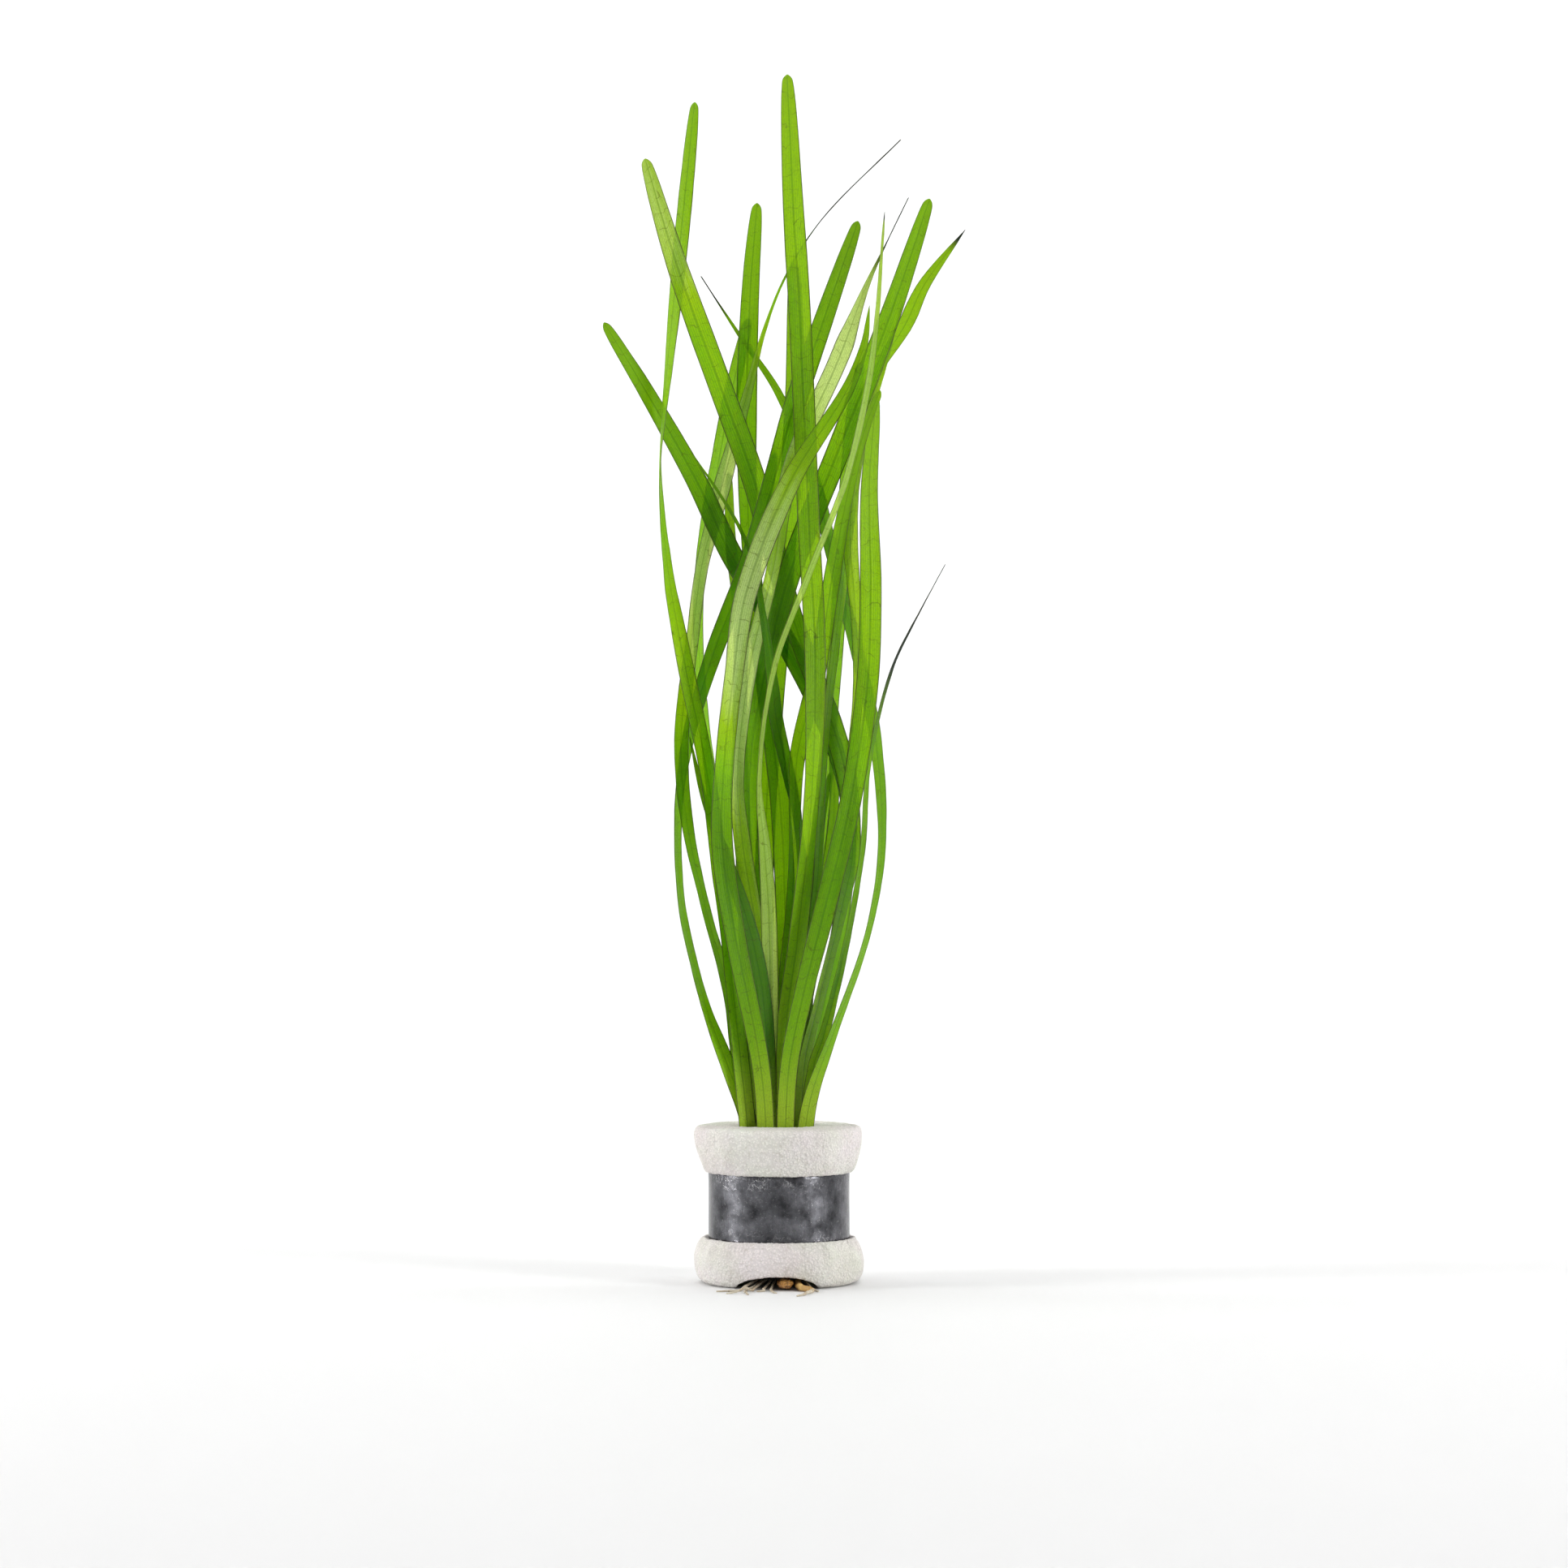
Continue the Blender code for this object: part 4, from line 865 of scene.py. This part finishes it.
def sleeve_profile():
    """Outer side of the sleeve from foot to top as (radius, height): two swollen lips and a pinched waist."""
    r, h = SLEEVE_RADIUS, SLEEVE_HEIGHT
    low, high = BAND_BOTTOM - 0.05 * MM, BAND_TOP + 0.05 * MM
    lower = [(14.8 * MM, 0.0), (16.6 * MM, 0.2 * MM), (r - 0.7 * MM, 1.1 * MM), (r - 0.1 * MM, 2.7 * MM),
             (r + 0.1 * MM, 4.6 * MM), (r - 0.1 * MM, 6.6 * MM), (r - 0.7 * MM, 8.6 * MM),
             (17.0 * MM, low + 0.5 * MM), (16.3 * MM, low + 0.6 * MM), (15.9 * MM, low + 0.1 * MM)]
    upper = [(15.9 * MM, high - 0.1 * MM), (16.2 * MM, high), (16.8 * MM, high + 0.7 * MM),
             (17.4 * MM, high + 1.9 * MM), (17.9 * MM, high + 3.4 * MM), (18.3 * MM, high + 5.3 * MM),
             (r - 0.1 * MM, h - 3.1 * MM), (r - 0.1 * MM, h - 1.2 * MM), (18.0 * MM, h - 0.2 * MM),
             (17.0 * MM, h), (15.4 * MM, h)]
    lobes = []
    for knots in (lower, upper):
        steps = list(range(len(knots)))
        lobes.append([
            tuple(between(steps, [k[i] for k in knots], at / 6) for i in (0, 1))
            for at in range(6 * (len(knots) - 1) + 1)])
    waist = [(WAIST_RADIUS, low), (WAIST_RADIUS, (low + high) / 2), (WAIST_RADIUS, high)]
    return lobes[0] + waist + lobes[1]


def sleeve_mesh():
    """A closed ring of foam: outer side, top, wall of the hole and underside, with the arch in front."""
    outer = sleeve_profile()
    inner_steps, wall_steps = 8, 40
    shape = bmesh.new()
    rings = []
    for turn in range(SLEEVE_TURNS):
        angle = math.tau * turn / SLEEVE_TURNS
        c, s = math.cos(angle), math.sin(angle)
        pleat = noise.noise(Vector((8 * c, 8 * s, 3.0)))
        spots = [Vector((r * c, r * s, z)) for r, z in outer]
        for spot in spots:
            radius = math.hypot(spot.x, spot.y)
            if radius > 16.6 * MM:
                lump = noise.noise(Vector((spot.x, spot.y, spot.z)) * 130) * 0.7 * MM
                close = max(0.0, 1 - min(abs(spot.z - BAND_TOP), abs(spot.z - BAND_BOTTOM)) / (5 * MM))
                lump += pleat * close * 0.9 * MM
                swell = 1 + lump * min(1.0, (radius - 16.6 * MM) / MM) / radius
                spot.x *= swell
                spot.y *= swell
        edge = Vector((*hole_edge(angle), SLEEVE_HEIGHT))
        top, foot = spots[-1].copy(), spots[0].copy()
        centre = Vector((HOLE_CENTRE_X, 0.0, edge.z))
        lip = centre.lerp(edge, 1 - HOLE_LIP)
        spots += [top.lerp(lip, i / inner_steps) for i in range(1, inner_steps)]
        for i in range(wall_steps + 1):
            z = SLEEVE_HEIGHT * (1 - i / wall_steps)
            near_top = max(0.0, 1 - (SLEEVE_HEIGHT - z) / LIP_DEPTH)
            spot = centre.lerp(edge, 1 - HOLE_LIP * near_top ** 0.6)
            spots.append(Vector((spot.x, spot.y, z)))
        spots += [Vector((edge.x, edge.y, 0.0)).lerp(foot, i / inner_steps) for i in range(1, inner_steps)]
        for spot in spots:
            if spot.y < 0:
                ratio = abs(spot.x - ARCH_X) / ARCH_HALF_WIDTH
                arch = ARCH_HEIGHT * math.sqrt(1 - ratio * ratio) if ratio < 1 else 0.0
                spot.z = max(spot.z, arch)
        rings.append([shape.verts.new(spot) for spot in spots])
    for turn in range(SLEEVE_TURNS):
        here, there = rings[turn], rings[(turn + 1) % SLEEVE_TURNS]
        for i in range(len(here)):
            j = (i + 1) % len(here)
            shape.faces.new((here[i], there[i], there[j], here[j]))
    bmesh.ops.recalc_face_normals(shape, faces=shape.faces)
    made = bpy.data.meshes.new("foam_sleeve")
    shape.to_mesh(made)
    shape.free()
    return made


def foam_tree():
    """Cuts open cells into a foam surface and keeps its foot flat."""
    tree, start, end = new_tree(
        "foam_cells", "GeometryNodeTree",
        [("Geometry", "NodeSocketGeometry", None), ("Cell Size", "NodeSocketFloat", 0.0006),
         ("Cell Depth", "NodeSocketFloat", 0.0002), ("Lump Depth", "NodeSocketFloat", 0.0002),
         ("Seed", "NodeSocketFloat", 0.0), ("Material", "NodeSocketMaterial", None)],
        [("Geometry", "NodeSocketGeometry")])
    place = node(tree, "GeometryNodeInputPosition").outputs[0]
    cells = node(tree, "ShaderNodeTexVoronoi", feature="F1", inputs={
        "Vector": place, "Scale": maths(tree, "DIVIDE", 1.0, start["Cell Size"])})
    dome = maths(tree, "SUBTRACT", 0.45, cells.outputs["Distance"])
    shifted = vector(tree, "ADD", place, combined(tree, start["Seed"]))
    lumps = maths(tree, "SUBTRACT", noise_at(tree, shifted, 620.0, 3.0, 0.6), 0.5)
    height = maths(tree, "MULTIPLY_ADD", dome, start["Cell Depth"],
                   maths(tree, "MULTIPLY", lumps, start["Lump Depth"]))
    offset = node(tree, "ShaderNodeVectorMath", operation="SCALE")
    feed(tree, offset.inputs[0], node(tree, "GeometryNodeInputNormal").outputs[0])
    feed(tree, offset.inputs["Scale"], height)
    cut = node(tree, "GeometryNodeSetPosition", {
        "Geometry": start["Geometry"], "Offset": offset.outputs[0]})
    split = node(tree, "ShaderNodeSeparateXYZ", {0: place}).outputs
    grounded = combined(tree, split[0], split[1], maths(tree, "MAXIMUM", split[2], 0.0))
    flat = node(tree, "GeometryNodeSetPosition", {"Geometry": cut.outputs[0], "Position": grounded})
    finished(tree, flat.outputs[0], start, end)
    return tree


class VALLISNERIA_OT_sleeve(bpy.types.Operator):
    """Builds the foam sleeve with its swollen lips, hole, arch and open cells"""
    bl_idname = "vallisneria.sleeve"
    bl_label = "Foam sleeve"

    def execute(self, context):
        settings = context.scene.vallisneria_sleeve
        piece = new_piece("sponge_sleeve", sleeve_mesh())
        even = piece.modifiers.new("even faces", "REMESH")
        even.mode = "VOXEL"
        even.voxel_size = settings.grid
        relax = piece.modifiers.new("relax", "SMOOTH")
        relax.iterations = 3
        bpy.context.view_layer.update()
        graph = context.evaluated_depsgraph_get()
        shape = bpy.data.meshes.new_from_object(piece.evaluated_get(graph))
        piece.modifiers.clear()
        piece.data = shape
        run_tree(piece, foam_tree(), {
            "Cell Size": settings.pore, "Cell Depth": settings.depth, "Lump Depth": 0.45 * MM,
            "Seed": 4.0, "Material": foam_material(settings, material_groups())})
        settle(piece, "foam_sleeve", slot="foam")
        return {"FINISHED"}


# Lead band

def band_mesh(settings):
    """A dented strip bent round the sleeve, its last stretch lying over its first at the back."""
    turn = math.tau + BAND_LAP
    begin = math.radians(90) - BAND_LAP / 2
    lift = BAND_THICKNESS + BAND_LAP_GAP
    shape = bmesh.new()
    sides = {-1: [], 1: []}
    for i in range(BAND_STEPS + 1):
        t = i / BAND_STEPS
        angle = begin + turn * t
        climb = min(max((t * turn - math.tau + 0.5) / 0.42, 0.0), 1.0)
        middle = BAND_RADIUS + lift * climb * climb * (3 - 2 * climb)
        for side, rows in sides.items():
            row = []
            for j in range(BAND_ROWS + 1):
                v = j / BAND_ROWS
                rim = min(v, 1 - v) * (BAND_TOP - BAND_BOTTOM)
                spot = Vector((math.cos(angle) * middle, math.sin(angle) * middle, v * 15 * MM))
                dent = noise.noise(spot * 160 + Vector((0, 0, climb * 5))) * settings.dents
                crease = noise.noise(spot * 900) * max(0.0, 1 - rim / (2.6 * MM)) * 0.05 * MM
                round_edge = 0.12 * MM * max(0.0, 1 - rim / (0.25 * MM)) ** 2
                radius = middle + dent + crease + side * (BAND_THICKNESS / 2 - round_edge)
                wave = noise.noise(Vector((math.cos(angle), math.sin(angle), 2 * (v > 0.5))) * 2.5)
                height = BAND_BOTTOM + (BAND_TOP - BAND_BOTTOM) * v + wave * 0.12 * MM * (2 * abs(v - 0.5))
                row.append(shape.verts.new((
                    radius * math.cos(angle), radius * math.sin(angle), height)))
            rows.append(row)
    outer, inner = sides[1], sides[-1]
    for i in range(BAND_STEPS):
        for j in range(BAND_ROWS):
            shape.faces.new((outer[i][j], outer[i + 1][j], outer[i + 1][j + 1], outer[i][j + 1]))
            shape.faces.new((inner[i][j + 1], inner[i + 1][j + 1], inner[i + 1][j], inner[i][j]))
        shape.faces.new((inner[i][0], inner[i + 1][0], outer[i + 1][0], outer[i][0]))
        shape.faces.new((outer[i][-1], outer[i + 1][-1], inner[i + 1][-1], inner[i][-1]))
    for j in range(BAND_ROWS):
        shape.faces.new((inner[0][j], outer[0][j], outer[0][j + 1], inner[0][j + 1]))
        shape.faces.new((outer[-1][j], inner[-1][j], inner[-1][j + 1], outer[-1][j + 1]))
    bmesh.ops.recalc_face_normals(shape, faces=shape.faces)
    made = bpy.data.meshes.new("lead_strip")
    shape.to_mesh(made)
    shape.free()
    made.shade_smooth()
    made.set_sharp_from_angle(angle=math.radians(50))
    return made


class VALLISNERIA_OT_band(bpy.types.Operator):
    """Bends the dented lead strip round the sleeve"""
    bl_idname = "vallisneria.band"
    bl_label = "Lead band"

    def execute(self, context):
        settings = context.scene.vallisneria_band
        piece = new_piece("lead_strip", band_mesh(settings))
        piece.data.materials.append(lead_material(settings, material_groups()))
        settle(piece, "lead_band", slot="lead")
        return {"FINISHED"}


# Rootstock, rhizome end and roots

def lumpy_mesh(name, segments, rings, bump, scale):
    """A closed ball of radius 1 with lumps."""
    shape = bmesh.new()
    bmesh.ops.create_uvsphere(shape, u_segments=segments, v_segments=rings, radius=1.0)
    for vertex in shape.verts:
        vertex.co *= 1 + bump * noise.fractal(vertex.co * scale, 0.8, 2.2, 4)
    made = bpy.data.meshes.new(name)
    shape.to_mesh(made)
    shape.free()
    made.shade_smooth()
    return made


class VALLISNERIA_OT_rootstock(bpy.types.Operator):
    """Gives the frame's rootstock its pale tissue and builds the rhizome's brown end"""
    bl_idname = "vallisneria.rootstock"
    bl_label = "Rootstock and rhizome"

    def execute(self, context):
        groups = material_groups()
        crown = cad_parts["rootstock"]
        crown.data.materials.clear()
        crown.data.materials.append(bark_material(
            "rootstock_tissue", ((0.56, 0.55, 0.25), (0.42, 0.32, 0.13), (0.2, 0.12, 0.05)),
            groups, 0.6 * MM))
        stub = lumpy_mesh("rhizome_end", 64, 72, 0.16, 1.9)
        x, y, z = STUB_HALF_SIZE
        for vertex in stub.vertices:
            a, b, c = vertex.co
            vertex.co = (STUB_CENTRE[0] + a * x, STUB_CENTRE[1] - c * y * 0.98,
                         max(0.02 * MM, STUB_CENTRE[2] + b * z))
        piece = new_piece("rhizome_end", stub)
        stub.materials.append(bark_material(
            "rhizome_bark", ((0.3, 0.12, 0.03), (0.5, 0.26, 0.06), (0.06, 0.03, 0.012)),
            groups, 0.5 * MM, 0.45))
        settle(piece, "rhizome_stub", slot="rhizome")
        return {"FINISHED"}


def root_tree():
    """Sweeps a round section along a root's middle line and makes it uneven."""
    tree, start, end = new_tree(
        "root_fibre", "GeometryNodeTree",
        [("Geometry", "NodeSocketGeometry", None), ("Sides", "NodeSocketInt", 12),
         ("Unevenness", "NodeSocketFloat", 0.2), ("Seed", "NodeSocketFloat", 0.0),
         ("Material", "NodeSocketMaterial", None)],
        [("Geometry", "NodeSocketGeometry")])
    ring = node(tree, "GeometryNodeCurvePrimitiveCircle", {"Resolution": start["Sides"], "Radius": 1.0})
    place = node(tree, "GeometryNodeInputPosition").outputs[0]
    split = node(tree, "ShaderNodeSeparateXYZ", {0: place}).outputs
    marked = node(tree, "GeometryNodeStoreNamedAttribute", {
        "Geometry": ring.outputs[0], "Name": "across", "Value": split[0]}, data_type="FLOAT")
    swept = node(tree, "GeometryNodeCurveToMesh", {
        "Curve": swept_start(tree, start), "Profile Curve": marked.outputs[0],
        "Scale": stored(tree, "half_width"), "Fill Caps": True})
    shifted = vector(tree, "ADD", place, combined(tree, start["Seed"]))
    knots = maths(tree, "SUBTRACT", noise_at(tree, shifted, 900.0, 3.0, 0.6), 0.5)
    height = maths(tree, "MULTIPLY", maths(tree, "MULTIPLY", knots, stored(tree, "half_width")),
                   maths(tree, "MULTIPLY", start["Unevenness"], 4.0))
    offset = node(tree, "ShaderNodeVectorMath", operation="SCALE")
    feed(tree, offset.inputs[0], node(tree, "GeometryNodeInputNormal").outputs[0])
    feed(tree, offset.inputs["Scale"], height)
    uneven = node(tree, "GeometryNodeSetPosition", {
        "Geometry": swept.outputs[0], "Offset": offset.outputs[0]})
    grounded = combined(tree, split[0], split[1], maths(tree, "MAXIMUM", split[2], 0.0))
    flat = node(tree, "GeometryNodeSetPosition", {"Geometry": uneven.outputs[0], "Position": grounded})
    finished(tree, flat.outputs[0], start, end)
    return tree


def root_spine(name, chance):
    """A root's middle line with a little wander, and what its tree and material read."""
    points = ROOTS[name]
    knots = list(range(len(points)))
    columns = [[p[i] * MM for p in points] for i in range(4)]
    thick = name == "root_6"
    spots, facts = [], {"side": [], "half_width": [], "along": [], "paleness": []}
    total = sum((Vector(a[:3]) - Vector(b[:3])).length for a, b in zip(points, points[1:])) * MM
    count = int(total / ROOT_STEP)
    shift = chance.uniform(0, 50)
    for i in range(count + 1):
        at = knots[-1] * i / count
        x, y, z, radius = (between(knots, column, at) for column in columns)
        free = min(1.0, i / 12, (count - i) / 8)
        x += noise.noise(Vector((i * 0.045, shift, 0))) * 0.3 * MM * free
        spots.append(Vector((x, y, max(z, radius * 0.95))))
        facts["half_width"].append(radius)
        facts["paleness"].append(min(1.0, max(0.0, (at - 3.4) / 1.2)) if thick else 1.0)
    for i in range(count + 1):
        a, b = spots[max(i - 1, 0)], spots[min(i + 1, count)]
        facts["side"].append((b - a).cross(Vector((0, 0, 1))).normalized())
        facts["along"].append(i * ROOT_STEP)
    return line_mesh(name, spots, facts)


class VALLISNERIA_OT_roots(bpy.types.Operator):
    """Sweeps the roots that come out under the sleeve and lie on the ground"""
    bl_idname = "vallisneria.roots"
    bl_label = "Roots"

    def execute(self, context):
        settings = context.scene.vallisneria_root
        skin = root_material(settings, material_groups())
        tree = root_tree()
        chance = random.Random(7)
        for number, name in enumerate(ROOTS):
            piece = new_piece(name.replace("root", "fibre"), root_spine(name, chance))
            run_tree(piece, tree, {
                "Sides": 24 if name == "root_6" else settings.sides, "Unevenness": settings.knots,
                "Seed": 0.31 * number, "Material": skin})
            settle(piece, name, slot="root")
        return {"FINISHED"}


# Stage

def backdrop_mesh():
    """A round floor that curves up into a wall on every side, nearer behind the plant than in front."""
    bend, top, turns, steps = 0.8, 3.0, 96, 16
    corners = [(0.0, 0.0, 0.0)]
    for i in range(steps + 2):
        angle = math.radians(90) * min(i / steps, 1.0)
        out = bend * math.sin(angle)
        z = bend * (1 - math.cos(angle)) if i <= steps else top
        for turn in range(turns):
            around = math.tau * turn / turns
            reach = 1.3 - 0.6 * math.sin(around) + out
            corners.append((reach * math.cos(around), reach * math.sin(around), z))
    faces = [(0, 1 + turn, 1 + (turn + 1) % turns) for turn in range(turns)]
    for i in range(steps + 1):
        here, above = 1 + i * turns, 1 + (i + 1) * turns
        for turn in range(turns):
            after = (turn + 1) % turns
            faces.append((here + turn, above + turn, above + after, here + after))
    shape = bpy.data.meshes.new("backdrop")
    shape.from_pydata(corners, [], faces)
    shape.shade_smooth()
    return shape


def floor_material(settings, groups):
    found, tree, shader = new_material("pale_floor", 0.7)
    drift = placed_group(tree, groups["tone_drift"], {
        "Vector": object_place(tree), "Scale": 3.0, "First": (*settings.floor, 1),
        "Second": (*(0.985 * c for c in settings.floor), 1)})
    feed(tree, shader.inputs["Base Color"], drift["Color"])
    return found


def add_light(name, place, aim, size, power):
    """A rectangular soft light at a place, turned to a point."""
    lamp = bpy.data.lights.new(name, "AREA")
    lamp.shape = "RECTANGLE"
    lamp.size, lamp.size_y = size
    lamp.energy = power
    holder = bpy.data.objects.new(name, lamp)
    holder.location = place
    holder.rotation_euler = (Vector(aim) - Vector(place)).to_track_quat("-Z", "Y").to_euler()
    bpy.context.scene.collection.objects.link(holder)


class VALLISNERIA_OT_stage(bpy.types.Operator):
    """Sets up the pale floor, the studio lights and the camera"""
    bl_idname = "vallisneria.stage"
    bl_label = "Stage"

    def execute(self, context):
        settings = context.scene.vallisneria_stage
        floor = new_piece("floor", backdrop_mesh())
        floor.data.materials.append(floor_material(settings, material_groups()))
        power = settings.light
        aim = (0, 0, 0.11)
        add_light("left softbox", (-1.3, -0.28, 0.35), aim, (0.34, 1.3), 19 * power)
        add_light("right softbox", (1.2, -0.75, 0.35), aim, (0.4, 1.3), 19 * power)
        add_light("front fill", (0.1, -1.3, 1.5), aim, (1.4, 1.0), 2 * power)
        add_light("overhead softbox", (0, -0.2, 1.7), aim, (1.6, 1.4), 6 * power)
        add_light("backdrop light", (0, 0.3, 1.6), (0, 1.5, 0.5), (2.4, 0.5), 26 * power)
        world = bpy.data.worlds.new("studio")
        world.use_nodes = True
        world.node_tree.nodes["Background"].inputs["Color"].default_value = (1, 1, 1, 1)
        world.node_tree.nodes["Background"].inputs["Strength"].default_value = 0.05 * power
        context.scene.world = world
        context.scene.view_settings.view_transform = "Standard"
        eye = bpy.data.cameras.new("camera")
        eye.lens = CAMERA_LENS
        eye.sensor_width = SENSOR
        eye.clip_start, eye.clip_end = 0.01, 20.0
        holder = bpy.data.objects.new("camera", eye)
        holder.location = CAMERA_PLACE
        holder.rotation_euler = (math.radians(90), 0, 0)
        context.scene.collection.objects.link(holder)
        context.scene.camera = holder
        return {"FINISHED"}


def material_groups():
    """The shared shader node groups, each built once."""
    makers = {"tone_drift": tone_drift, "cell_grain": cell_grain, "vein_lines": vein_lines}
    return {name: bpy.data.node_groups.get(name) or make() for name, make in makers.items()}


# Panel and registration

OPERATORS = (
    VALLISNERIA_OT_stage, VALLISNERIA_OT_sleeve, VALLISNERIA_OT_band, VALLISNERIA_OT_rootstock,
    VALLISNERIA_OT_roots, VALLISNERIA_OT_leaves)
SETTINGS = {
    "vallisneria_leaf": LeafSettings, "vallisneria_sleeve": SleeveSettings,
    "vallisneria_band": BandSettings, "vallisneria_root": RootSettings,
    "vallisneria_stage": StageSettings}


class VALLISNERIA_PT_panel(bpy.types.Panel):
    """Lists the plant's pieces and their settings"""
    bl_label = "Vallisneria"
    bl_idname = "VALLISNERIA_PT_panel"
    bl_space_type = "VIEW_3D"
    bl_region_type = "UI"
    bl_category = "Vallisneria"

    def draw(self, context):
        for kind in OPERATORS:
            self.layout.operator(kind.bl_idname)
        for name, kind in SETTINGS.items():
            box = self.layout.box()
            for field in kind.__annotations__:
                box.prop(getattr(context.scene, name), field)


def register():
    for kind in (*SETTINGS.values(), *OPERATORS, VALLISNERIA_PT_panel):
        bpy.utils.register_class(kind)
    for name, kind in SETTINGS.items():
        setattr(bpy.types.Scene, name, PointerProperty(type=kind))


def unregister():
    for name in SETTINGS:
        delattr(bpy.types.Scene, name)
    for kind in (VALLISNERIA_PT_panel, *reversed(OPERATORS), *reversed(SETTINGS.values())):
        bpy.utils.unregister_class(kind)


def main():
    register()
    bpy.ops.vallisneria.stage()
    bpy.ops.vallisneria.sleeve()
    bpy.ops.vallisneria.band()
    bpy.ops.vallisneria.rootstock()
    bpy.ops.vallisneria.roots()
    bpy.ops.vallisneria.leaves()
    bpy.context.view_layer.update()


if __name__ == "__main__":
    main()
